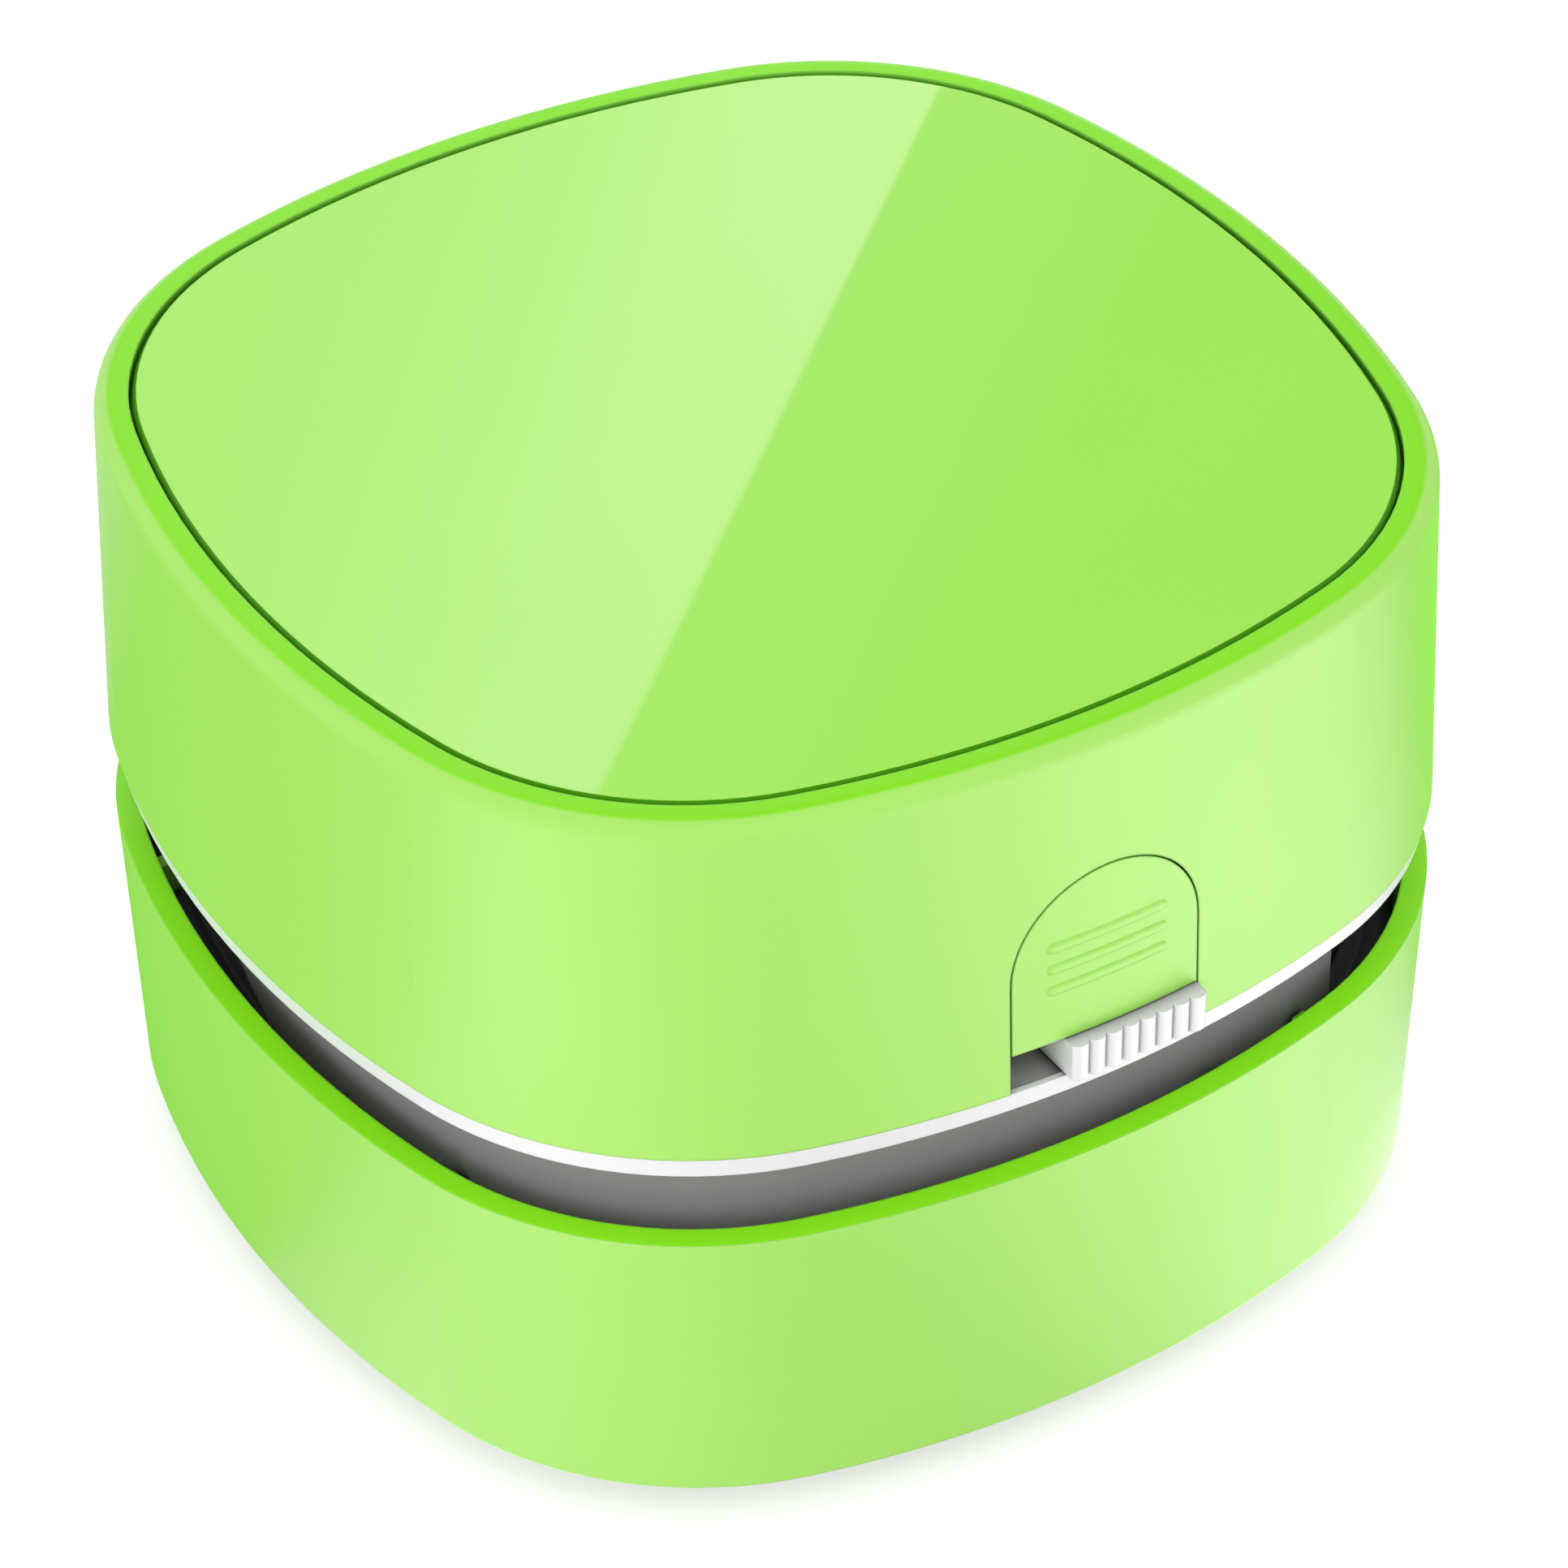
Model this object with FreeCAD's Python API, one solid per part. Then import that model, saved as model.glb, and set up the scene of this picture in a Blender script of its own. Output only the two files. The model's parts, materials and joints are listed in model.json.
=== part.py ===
import FreeCAD, Part
import math
import os
from FreeCAD import Vector

# Desktop vacuum: a dust box that stands on four feet, and a head that lifts off it.
# Millimetres. +Z is up, Z = 0 is the table, the slide switch faces -Y.

# Body outline: four bowed sides joined by four corner arcs.
half_width = 42.5
side_radius = 80.0
corner_radius = 26.4
casing_draft = 0.83
box_draft = 0.83
wall = 2.0
rim_fillet = 1.4
foot_fillet = 0.4

# Heights, from the table up.
floor_gap = 3.5
box_height = 22.65
waist_height = 5.7
trim_height = 1.65

# Dust box.
lip_width = 1.7
box_floor = 1.5
base_recess = 0.4
base_thickness = 1.6
shelf_drop = 8.15
shelf_thickness = 1.4
shelf_reach = 5.5
throat_rib = 1.2
throat_rib_offset = 20.0
throat_rib_drop = 2.3
catch_depth = 1.1
catch_height = 0.9
catch_margin = 0.6
base_fit = 0.2
base_edge = 0.35
base_screw_inset = 2.4
blind_depth = 1.6
web_thickness = 1.2

# Suction inlet and brush.
inlet_radius = 11.4
inlet_wall = 1.4
inlet_height = 3.8
inlet_flange = 2.2
inlet_fit = 0.1
inlet_bell = 1.0
hood_gap = 3.9
hood_rise = 1.2
hood_radius = 15.0
hood_thickness = 1.2
hood_legs = 3
hood_leg_width = 3.0
brush_inner = 16.4
brush_width = 4.0
brush_proud = 0.9
brush_fit = 0.05
brush_bevel = 0.4
tuft_radius = 0.85
tuft_lift = 0.6
tuft_seat = 0.4
tufts_per_arc = 6
brush_arcs = 4

# Feet.
foot_radius = 3.4
foot_place = 25.5
foot_fit = 0.3
foot_bevel = 0.8

# Filter.
filter_height = 2.5
filter_border = 3.4
filter_bar = 1.2
filter_bars = 3
filter_bar_drop = 0.4
filter_bar_root = 0.5
mesh_thickness = 0.5
mesh_seat = 0.8
mesh_fit = 0.1
seal_height = 1.0
seal_inset = 0.1
seal_lap = 0.3

# Neck and fan chamber.
neck_inset = 3.9
neck_wall = 1.5
neck_rail = 1.2
front_wall_end = 24.0
rake_foot = 1.0
rake_run = 2.0
pillar_margin = 1.8
lug_drop = 0.6
rail_web = 2.0
grille_boss_gap = 0.7
grille_boss_cap = 2.0
fan_plate_thickness = 1.5
fan_plate_fit = 0.2
guard_bar = 1.1
guard_rings = 2
guard_spokes = 6
guard_root = 0.5
eye_radius = 13.0
eye_lip = 1.2
eye_lip_gap = 0.35

# Impeller: backward-curved blades between a hub plate and a shroud ring.
impeller_radius = 25.0
impeller_blades = 9
blade_inlet_radius = 8.5
blade_inlet_angle = 38.0
blade_outlet_angle = 52.0
blade_thickness = 0.9
blade_height = 3.9
blade_inset = 0.3
disc_thickness = 0.9
shroud_thickness = 0.8
mouth_margin = 0.8
mouth_slope = 1.6
hub_radius = 3.6
hub_nose = 1.4
hub_flare = 1.8
impeller_gap = 0.8

# Motor, the common 15 by 20 by 25 mm can.
motor_width = 15.1
motor_breadth = 20.1
motor_length = 25.0
motor_cap = 3.6
motor_boss_radius = 3.07
motor_boss = 1.5
motor_rear_boss = 1.0
shaft_radius = 1.0
shaft_clearance = 0.04
shaft_cap = 1.4
shaft_in_can = 7.0
shaft_room = 0.25
can_edge = 0.9
can_vent_width = 5.0
can_vent_height = 6.0
can_vent_drop = 3.0
can_vent_depth = 0.8
cap_inset = 0.25
cap_edge = 0.5
terminal_length = 1.8
terminal_root = 2.0
terminal_width = 2.4
terminal_thickness = 0.4
motor_seat_drop = 0.25
motor_seat_floor = 1.5
motor_fit = 0.12
motor_boss_fit = 0.05
collar_height = 9.0
collar_wall = 1.4

# Deck and the posts above it.
deck_thickness = 1.5
post_radius = 2.7
post_y = 19.0
post_gap = 1.0
post_web_rise = 3.0
tray_post = 6.0

# Screws.
screw_radius = 1.05
screw_length = 7.0
tray_screw_length = 6.0
screw_tip = 0.4
screw_head_radius = 2.1
screw_head = 1.2
screw_head_bevel = 0.42
drive_length = 2.4
drive_width = 0.44
drive_depth = 0.6
screw_sink = 0.8
screw_fit = 0.1
screw_head_fit = 0.2

# Cells and tray.
cell_radius = 7.25
cell_length = 49.5
cell_nub_radius = 2.6
cell_nub = 1.0
cell_bevel = 0.5
cell_fit = 0.35
tray_wall = 1.3
tray_plate = 1.4
tray_fit = 0.5
tray_screw_sink = 1.3
tray_motor_gap = 0.2
grip_half = 12.0
grip_depth = 3.5
lead_slot = 4.4
lead_room = 1.0
cell_spring_room = 3.9
cell_spring_wire = 0.3
cell_spring_radius = 4.2
cell_spring_turns = 4
cell_spring_cone = -24.0
contact_thickness = 0.4
contact_width = 10.0
tag_length = 1.2
tag_drop = 3.5
tag_width = 2.0
tag_thickness = 0.5
link_margin = 2.0
link_height = 3.6

# Top cover.
cover_thickness = 1.6
cover_gap = 0.22
cover_bevel = 0.3
cover_rim = 2.6
cover_drop = 0.05
cover_air = 0.75
cover_rib = 1.0
cover_rib_height = 0.7
cover_rib_inset = 4.0
cover_rib_gap = 2.0
ledge_thickness = 1.6
ledge_reach = 3.1
tongue_width = 14.0
tongue_thickness = 1.2
tongue_depth = 3.6
tongue_fit = 0.1
tongue_notch = 0.6
foam_width = 9.0
foam_length = 30.0
foam_gap = 0.25

# Trim ring.
trim_taper = 0.38
trim_step = 0.04
trim_depth = 3.1
trim_upstand = 1.5
trim_fit = 0.12
trim_slot_gap = 0.6
ledge_lip = 0.5
ledge_depth = 0.8

# Release button, one moulding with its two latch legs.
button_width = 14.7
button_top = 16.07
button_seam = 0.15
button_yoke = 1.4
button_wall_gap = 0.2
button_travel = 1.6
yoke_half = 13.4
yoke_band = 9.6
yoke_lift = 1.6
guide_rib = 1.2
arm_thickness = 1.6
arm_root = 0.4
leg_width = 2.8
leg_thickness = 1.5
leg_clearance = 0.3
hook_height = 1.2
hook_bevel_share = 0.6
latch_gap = 0.1
spring_radius = 2.2
spring_wire = 0.28
spring_turns = 5
spring_fit = 0.05
peg_radius = 1.6
peg_length = 1.8
peg_root = 0.3
bracket_gap = 0.1
bracket_half = 4.5
bracket_thickness = 1.4
bracket_rise = 2.0

# Slide switch.
slot_height = 3.14
knob_travel = 4.0
knob_end_gap = 0.1
knob_fit = 0.14
knob_proud = 1.0
knob_ribs = 8
knob_rib_rise = 0.35
knob_depth = 4.6
lever_width = 3.0
lever_height = 1.6
lever_length = 2.6
lever_root = 0.6
lever_play = 0.2
switch_half = 6.5
switch_depth = 4.6
switch_height = 4.4
switch_slot_depth = 1.0
switch_pin = 0.9
switch_pin_height = 1.8
switch_pin_length = 0.9
switch_pin_pitch = 5.4

# Leads.
lead_radius = 0.55
lead_bend = 2.2
lead_tight_bend = 1.8
lead_end = 1.0
lead_lap = 0.4
lead_run = 2.0
lead_sweep = 6.0
lead_rise = 5.0

# Two levels this close count as one.
same_level = 1e-4

# Levels that follow from the heights above.
box_low = floor_gap
box_top = box_low + box_height
trim_low = box_top + waist_height
casing_low = trim_low + trim_height
motor_low = trim_low - motor_seat_drop
motor_high = motor_low + motor_length
cover_low = motor_high + motor_rear_boss + cover_air
cover_high = cover_low + cover_thickness
casing_high = cover_high + cover_drop
deck_high = trim_low + deck_thickness
shelf_high = box_top - shelf_drop
filter_high = shelf_high + filter_height
neck_low = filter_high + seal_height
fan_plate_high = neck_low + fan_plate_thickness
base_low = box_low + base_recess
base_high = base_low + base_thickness
base_seat = base_low + base_thickness / 2
bin_floor = base_high + box_floor
boss_high = base_low + screw_length + blind_depth
flange_low = base_high - inlet_wall / 2
inlet_rim = bin_floor + inlet_height
impeller_low = fan_plate_high + impeller_gap
lug_low = trim_low - neck_rail - lug_drop
deck_screw_low = lug_low - screw_head
tray_high = cover_low - ledge_thickness
tray_low = tray_high - tray_plate
tray_seat = tray_high - tray_screw_sink
casing_post_high = tray_low - tray_post

# Places that follow from the sizes above.
casing_top_half = half_width - casing_draft
box_foot_half = half_width - box_draft
lip_half = half_width - lip_width
neck_half = half_width - neck_inset
neck_inner = neck_half - neck_wall
throat_half = neck_half + leg_clearance
shelf_half = neck_half - shelf_reach + wall
base_screw_y = box_foot_half - wall - post_radius - base_screw_inset
grille_boss_y = neck_inner - post_radius - grille_boss_gap
inlet_outer = inlet_radius + inlet_wall
flange_radius = inlet_outer + inlet_flange
yoke_front = wall + button_wall_gap
yoke_back = yoke_front + button_yoke
cover_half = casing_top_half - cover_rim
ledge_half = cover_half - ledge_reach
trough_radius = cell_radius + cell_fit
trough_outer = trough_radius + tray_wall
cell_x = motor_width / 2 + motor_fit + trough_outer + tray_wall
cell_z = tray_high - cell_radius
cell_room = cell_length + cell_nub + cell_spring_room + 2 * contact_thickness
post_x = cell_x + trough_outer + post_radius + post_gap
knob_width = button_width - knob_travel - 2 * knob_end_gap
knob_x = knob_travel / 2
slot_high = casing_low + slot_height
yoke_low = slot_high + yoke_lift
yoke_high = yoke_low + yoke_band
spring_z = (yoke_low + yoke_high) / 2
leg_outer = yoke_half
leg_inner = yoke_half - leg_width
hook_low = neck_low + leg_clearance


def cylinder(x, y, radius, low, high):
    return Part.makeCylinder(radius, high - low, Vector(x, y, low))


def ring(outer, inner, low, high):
    return cylinder(0, 0, outer, low, high).cut(cylinder(0, 0, inner, low, high))


def block(x0, x1, y0, y1, z0, z1):
    corner = Vector(min(x0, x1), min(y0, y1), min(z0, z1))
    return Part.makeBox(abs(x1 - x0), abs(y1 - y0), abs(z1 - z0), corner)


def join(first, *others):
    return first.fuse(list(others)).removeSplitter()


def cut_each(shape, tools):
    for tool in tools:
        shape = shape.cut(tool)
    return shape


def arc(centre, radius, start, end, z):
    angles = (start, (start + end) / 2, end)
    points = [
        Vector(centre[0] + radius * math.cos(a), centre[1] + radius * math.sin(a), z)
        for a in angles
    ]
    return Part.Arc(*points).toShape()


# The arcs of every loop share these centres, so all loops are parallel.
side_centre = half_width - side_radius
corner_centre = (
    side_centre
    + math.sqrt(2 * (side_radius - corner_radius) ** 2 - side_centre**2)
) / 2
corner_angle = math.atan2(corner_centre, corner_centre - side_centre)


def outline(half, z):
    inset = half_width - half
    edges = []
    for quarter in range(4):
        turn = quarter * math.pi / 2
        side = (side_centre * math.cos(turn), side_centre * math.sin(turn))
        diagonal = corner_centre * math.sqrt(2)
        corner = (
            diagonal * math.cos(turn + math.pi / 4),
            diagonal * math.sin(turn + math.pi / 4),
        )
        edges.append(
            arc(side, side_radius - inset, turn - corner_angle, turn + corner_angle, z)
        )
        edges.append(
            arc(
                corner,
                corner_radius - inset,
                turn + corner_angle,
                turn + math.pi / 2 - corner_angle,
                z,
            )
        )
    return Part.Wire(edges)


def reach(half, across):
    # How far a loop of this half-width stands from the middle, at a place along its side.
    radius = side_radius - (half_width - half)
    return side_centre + math.sqrt(radius**2 - across**2)


def prism(half, low, high):
    return Part.Face(outline(half, low)).extrude(Vector(0, 0, high - low))


def taper(half_low, low, half_high, high):
    return Part.makeLoft([outline(half_low, low), outline(half_high, high)], True, True)


def casing_half(z):
    return half_width - casing_draft * (z - casing_low) / (casing_high - casing_low)


def box_half(z):
    return box_foot_half + box_draft * (z - box_low) / box_height


def casing_layer(inset, low, high):
    return taper(casing_half(low) - inset, low, casing_half(high) - inset, high)


def revolve(points):
    # Points are (radius, z) pairs, turned a full turn about Z.
    corners = [Vector(r, 0, z) for r, z in points]
    face = Part.Face(Part.makePolygon(corners + corners[:1]))
    return face.revolve(Vector(0, 0, 0), Vector(0, 0, 1), 360)


def edges_at(shape, z):
    found = []
    for edge in shape.Edges:
        box = edge.BoundBox
        if max(abs(box.ZMin - z), abs(box.ZMax - z)) < same_level:
            found.append(edge)
    return found


def on_sides(shape):
    # The shape and its three copies, a quarter turn apart.
    copies = []
    for quarter in range(4):
        copy = shape.copy()
        copy.rotate(Vector(0, 0, 0), Vector(0, 0, 1), 90 * quarter)
        copies.append(copy)
    return copies


def post_places():
    return [(sx * post_x, sy * post_y) for sx in (-1, 1) for sy in (-1, 1)]


def screw(x, y, head_low, length, up=1):
    # A pan-head screw that points up, or down where up is -1.
    head_high = head_low + screw_head
    body = cylinder(x, y, screw_head_radius, head_low, head_high)
    body = body.makeChamfer(screw_head_bevel, edges_at(body, head_low))
    shank = cylinder(x, y, screw_radius, head_high, head_high + length)
    shank = shank.makeChamfer(screw_tip, edges_at(shank, head_high + length))
    long = drive_length / 2
    thin = drive_width / 2
    drive_high = head_low + drive_depth
    cross = join(
        block(x - long, x + long, y - thin, y + thin, head_low, drive_high),
        block(x - thin, x + thin, y - long, y + long, head_low, drive_high),
    )
    whole = join(body, shank).cut(cross)
    if up < 0:
        whole = whole.mirror(Vector(x, y, head_low), Vector(0, 0, 1))
    return whole


def tube_path(points, radius, bend):
    # A round wire along straight runs that are joined by tangent arcs.
    edges = []
    start = points[0]
    for before, here, after in zip(points, points[1:], points[2:]):
        back = (before - here).normalize()
        ahead = (after - here).normalize()
        half_turn = math.acos(max(-1, min(1, back.dot(ahead)))) / 2
        trim = bend / math.tan(half_turn)
        first = here + back * trim
        last = here + ahead * trim
        middle = here + (back + ahead).normalize() * (bend / math.sin(half_turn) - bend)
        edges.append(Part.LineSegment(start, first).toShape())
        edges.append(Part.Arc(first, middle, last).toShape())
        start = last
    edges.append(Part.LineSegment(start, points[-1]).toShape())
    path = Part.Wire(edges)
    direction = points[1] - points[0]
    profile = Part.Wire(Part.Circle(points[0], direction, radius).toShape())
    return path.makePipeShell([profile], True, True)


def coil(radius, wire, turns, height, cone=0.0):
    # A helix of six-sided wire that stands on Z = 0.
    helix = Part.makeHelix(height / turns, height, radius, cone)
    corners = []
    for index in range(6):
        angle = index * math.pi / 3
        corners.append(Vector(radius + wire * math.cos(angle), 0, wire * math.sin(angle)))
    profile = Part.makePolygon(corners + corners[:1])
    return Part.Wire(helix.Edges).makePipeShell([profile], True, True)


# ---- Dust box -------------------------------------------------------------------


def dust_box():
    body = taper(box_foot_half, box_low, half_width, box_top)
    body = body.makeFillet(foot_fillet, edges_at(body, box_low))
    hollow = taper(box_half(bin_floor) - wall, bin_floor, lip_half, box_top)
    under = prism(box_foot_half - wall, box_low, base_high)
    body = body.cut(hollow).cut(under)
    inside = taper(box_half(bin_floor) - wall / 2, bin_floor, lip_half + wall / 2, box_top)
    shelf_low = shelf_high - shelf_thickness
    shelf = prism(half_width - wall / 2, shelf_low, shelf_high).cut(
        prism(shelf_half, shelf_low, shelf_high)
    )
    bosses = on_sides(base_boss())
    ribs = []
    for offset in (-throat_rib_offset, throat_rib_offset):
        rib = block(
            offset - throat_rib / 2,
            offset + throat_rib / 2,
            -half_width,
            0,
            shelf_high,
            box_top - throat_rib_drop,
        ).cut(prism(throat_half, shelf_high, box_top))
        ribs += on_sides(rib)
    catches = []
    for side in (-1, 1):
        middle = leg_middle(side)
        catches.append(
            block(
                middle - leg_width / 2 - catch_margin,
                middle + leg_width / 2 + catch_margin,
                -half_width,
                -catch_tip(),
                catch_low(),
                catch_low() + catch_height,
            )
        )
    inner = [piece.common(inside) for piece in [shelf] + bosses + ribs + catches]
    body = join(body, *inner)
    body = body.cut(cylinder(0, 0, inlet_outer + inlet_fit, base_high, bin_floor))
    return cut_each(body, on_sides(cylinder(0, -base_screw_y, screw_radius, base_high, boss_high)))


def catch_low():
    return hook_low + hook_height + leg_clearance


def catch_tip():
    return reach(lip_half, leg_inner) - catch_depth


def base_boss():
    # A screw boss with a web that ties it to the wall.
    boss = cylinder(0, -base_screw_y, post_radius, bin_floor, boss_high)
    half = web_thickness / 2
    web = block(-half, half, -half_width, -base_screw_y, bin_floor, boss_high)
    return join(boss, web)


def base_plate():
    plate = prism(box_foot_half - wall - base_fit, base_low, base_high)
    plate = plate.makeFillet(base_edge, edges_at(plate, base_low))
    plate = plate.cut(cylinder(0, 0, inlet_outer + inlet_fit, base_low, base_high))
    plate = plate.cut(cylinder(0, 0, flange_radius + inlet_fit, flange_low, base_high))
    plate = plate.cut(ring(brush_inner + brush_width, brush_inner, base_low, base_seat))
    seats = [cylinder(x, y, foot_radius, base_low, base_seat) for x, y in foot_places()]
    hole = cylinder(0, -base_screw_y, screw_radius + screw_fit, base_low, base_high)
    sink = cylinder(0, -base_screw_y, screw_head_radius + screw_head_fit, base_low, base_low + screw_sink)
    return cut_each(plate, seats + on_sides(hole) + on_sides(sink))


def foot_places():
    return [(sx * foot_place, sy * foot_place) for sx in (-1, 1) for sy in (-1, 1)]


def foot_pad(x, y):
    stud = cylinder(x, y, foot_radius - foot_fit, 0, base_seat)
    stud = stud.makeChamfer(foot_bevel, edges_at(stud, 0))
    collar = cylinder(x, y, foot_radius, base_low, base_seat)
    return join(stud, collar)


def base_screws():
    head_low = base_low + screw_sink - screw_head
    return Part.Compound(on_sides(screw(0, -base_screw_y, head_low, screw_length)))


def inlet_tube():
    # A bell-mouthed tube whose flange is held between the base plate and the box.
    pipe = ring(inlet_outer, inlet_radius, base_low, inlet_rim)
    mouth = [edge for edge in edges_at(pipe, base_low) if edge.Curve.Radius < inlet_outer]
    pipe = pipe.makeFillet(inlet_bell, mouth)
    return join(pipe, ring(flange_radius, inlet_outer, flange_low, base_high))


def inlet_hood():
    # A shallow umbrella, part of a hollow ball, on legs that stand on the tube's rim.
    ball = (hood_radius**2 + hood_rise**2) / (2 * hood_rise)
    eaves = inlet_rim + hood_gap
    centre = Vector(0, 0, eaves + hood_rise - ball)
    dome = Part.makeSphere(ball + hood_thickness, centre).cut(Part.makeSphere(ball, centre))
    crown = eaves + hood_rise + hood_thickness
    dome = dome.common(cylinder(0, 0, hood_radius, eaves, crown))
    leg_high = eaves + hood_thickness
    wall_ring = ring(inlet_outer, inlet_radius, inlet_rim, leg_high)
    legs = []
    for turn in range(hood_legs):
        half = hood_leg_width / 2
        leg = block(-half, half, 0, -flange_radius, inlet_rim, leg_high)
        leg.rotate(Vector(0, 0, 0), Vector(0, 0, 1), 360 * turn / hood_legs)
        legs.append(leg.common(wall_ring))
    return join(dome, *legs)


def brush_ring():
    low = base_low - brush_proud
    holder = ring(brush_inner + brush_width - brush_fit, brush_inner + brush_fit, low, base_seat)
    holder = holder.makeChamfer(brush_bevel, edges_at(holder, low))
    holes = [cylinder(x, y, tuft_radius, low, base_seat - tuft_seat) for x, y in tuft_places()]
    return cut_each(holder, holes)


def tuft_places():
    places = []
    middle = brush_inner + brush_width / 2
    span = 360 / brush_arcs
    step = span / (tufts_per_arc + 1)
    for part in range(brush_arcs):
        for tuft in range(tufts_per_arc):
            angle = math.radians(part * span + (tuft + 1) * step)
            places.append((middle * math.cos(angle), middle * math.sin(angle)))
    return places


def bristles():
    high = base_seat - tuft_seat
    return Part.Compound([cylinder(x, y, tuft_radius, tuft_lift, high) for x, y in tuft_places()])


# ---- Filter ---------------------------------------------------------------------


def filter_frame():
    half = neck_half
    frame = prism(half, shelf_high, filter_high)
    inner = half - filter_border
    frame = frame.cut(prism(inner, shelf_high, filter_high))
    bars = []
    step = 2 * inner / (filter_bars + 1)
    low = shelf_high + mesh_thickness
    high = filter_high - filter_bar_drop
    for index in range(filter_bars):
        place = -inner + (index + 1) * step
        across = block(place - filter_bar / 2, place + filter_bar / 2, -half, half, low, high)
        along = block(-half, half, place - filter_bar / 2, place + filter_bar / 2, low, high)
        bars += [across, along]
    bounds = prism(inner + filter_bar_root, low, high)
    bars = [bar.common(bounds) for bar in bars]
    frame = join(frame, *bars)
    frame = frame.cut(prism(inner + mesh_seat, shelf_high, low))
    tab = block(-step / 2, step / 2, -filter_bar / 2, filter_bar / 2, low, filter_high)
    return join(frame, tab)


def filter_mesh():
    half = neck_half - filter_border + mesh_seat - mesh_fit
    return prism(half, shelf_high, shelf_high + mesh_thickness)


# ---- Neck, fan and motor ----------------------------------------------------------


def neck_seal():
    band = prism(neck_half - seal_inset, filter_high, neck_low)
    return band.cut(prism(neck_inner - seal_lap, filter_high, neck_low))


def neck_shell():
    shell = prism(neck_half, neck_low, trim_low).cut(prism(neck_inner, neck_low, trim_low))
    high = trim_low - neck_rail
    pillar = post_radius + pillar_margin
    far = half_width
    # The left window starts with a raked edge; the other edges are upright.
    rake = Part.makePolygon(
        [
            Vector(-far, rake_foot, neck_low),
            Vector(-far, far, neck_low),
            Vector(-far, far, high),
            Vector(-far, rake_foot + rake_run * (high - neck_low), high),
            Vector(-far, rake_foot, neck_low),
        ]
    )
    windows = [
        block(front_wall_end, far, -far, -pillar, neck_low, high),
        block(pillar, far, pillar, far, neck_low, high),
        Part.Face(rake).extrude(Vector(far - pillar, 0, 0)),
    ]
    shell = cut_each(shell, windows)
    rail = prism(neck_inner + neck_wall / 2, neck_low, trim_low)
    lugs = []
    for x, y in post_places():
        lug = cylinder(x, y, post_radius, lug_low, trim_low)
        half = rail_web / 2
        web = block(x, math.copysign(far, x), y - half, y + half, high, trim_low)
        lugs += [lug, web.common(rail)]
    bosses = [boss.common(rail) for boss in on_sides(grille_boss())]
    shell = join(shell, *(lugs + bosses))
    holes = []
    for x, y in post_places():
        holes.append(cylinder(x, y, screw_radius + screw_fit, lug_low, trim_low))
        holes.append(cylinder(x, y, screw_head_radius + screw_head_fit, deck_screw_low, lug_low))
    blind_end = trim_low - grille_boss_cap
    holes += on_sides(cylinder(0, -grille_boss_y, screw_radius, neck_low, blind_end))
    for side in (-1, 1):
        hook_high = hook_low + hook_height + leg_clearance
        holes.append(leg_space(side, -far, hook_low - leg_clearance, hook_high))
    return cut_each(shell, holes)


def grille_boss():
    boss = cylinder(0, -grille_boss_y, post_radius, fan_plate_high, trim_low)
    half = rail_web / 2
    web = block(-half, half, -half_width, -grille_boss_y, fan_plate_high, trim_low)
    return join(boss, web)


def fan_plate():
    plate = prism(neck_inner - fan_plate_fit, neck_low, fan_plate_high)
    plate = plate.cut(cylinder(0, 0, eye_radius, neck_low, fan_plate_high))
    lip = ring(eye_radius + eye_lip, eye_radius, fan_plate_high, impeller_low - eye_lip_gap)
    bars = []
    guard_high = neck_low + guard_bar
    step = eye_radius / (guard_rings + 1)
    half = guard_bar / 2
    for index in range(guard_rings):
        middle = (index + 1) * step
        bars.append(ring(middle + half, middle - half, neck_low, guard_high))
    for spoke in range(guard_spokes):
        bar = block(step, eye_radius + guard_root, -half, half, neck_low, guard_high)
        bar.rotate(Vector(0, 0, 0), Vector(0, 0, 1), 360 * spoke / guard_spokes)
        bars.append(bar)
    plate = join(plate, lip, *bars)
    head_radius = screw_head_radius + screw_head_fit
    hole = cylinder(0, -grille_boss_y, screw_radius + screw_fit, neck_low, fan_plate_high)
    sink = cylinder(0, -grille_boss_y, head_radius, neck_low, neck_low + screw_sink)
    legs = [leg_space(side, -half_width, neck_low, fan_plate_high) for side in (-1, 1)]
    return cut_each(plate, on_sides(hole) + on_sides(sink) + legs)


def leg_middle(side):
    return side * (leg_inner + leg_outer) / 2


def leg_space(side, front, low, high):
    # The space that a latch leg moves in, with its clearance.
    middle = leg_middle(side)
    half = leg_width / 2 + leg_clearance
    back = -leg_front() + leg_thickness + button_travel + leg_clearance
    return block(middle - half, middle + half, front, back, low, high)


def grille_screws():
    head_low = neck_low + screw_sink - screw_head
    return Part.Compound(on_sides(screw(0, -grille_boss_y, head_low, screw_length)))


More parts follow.
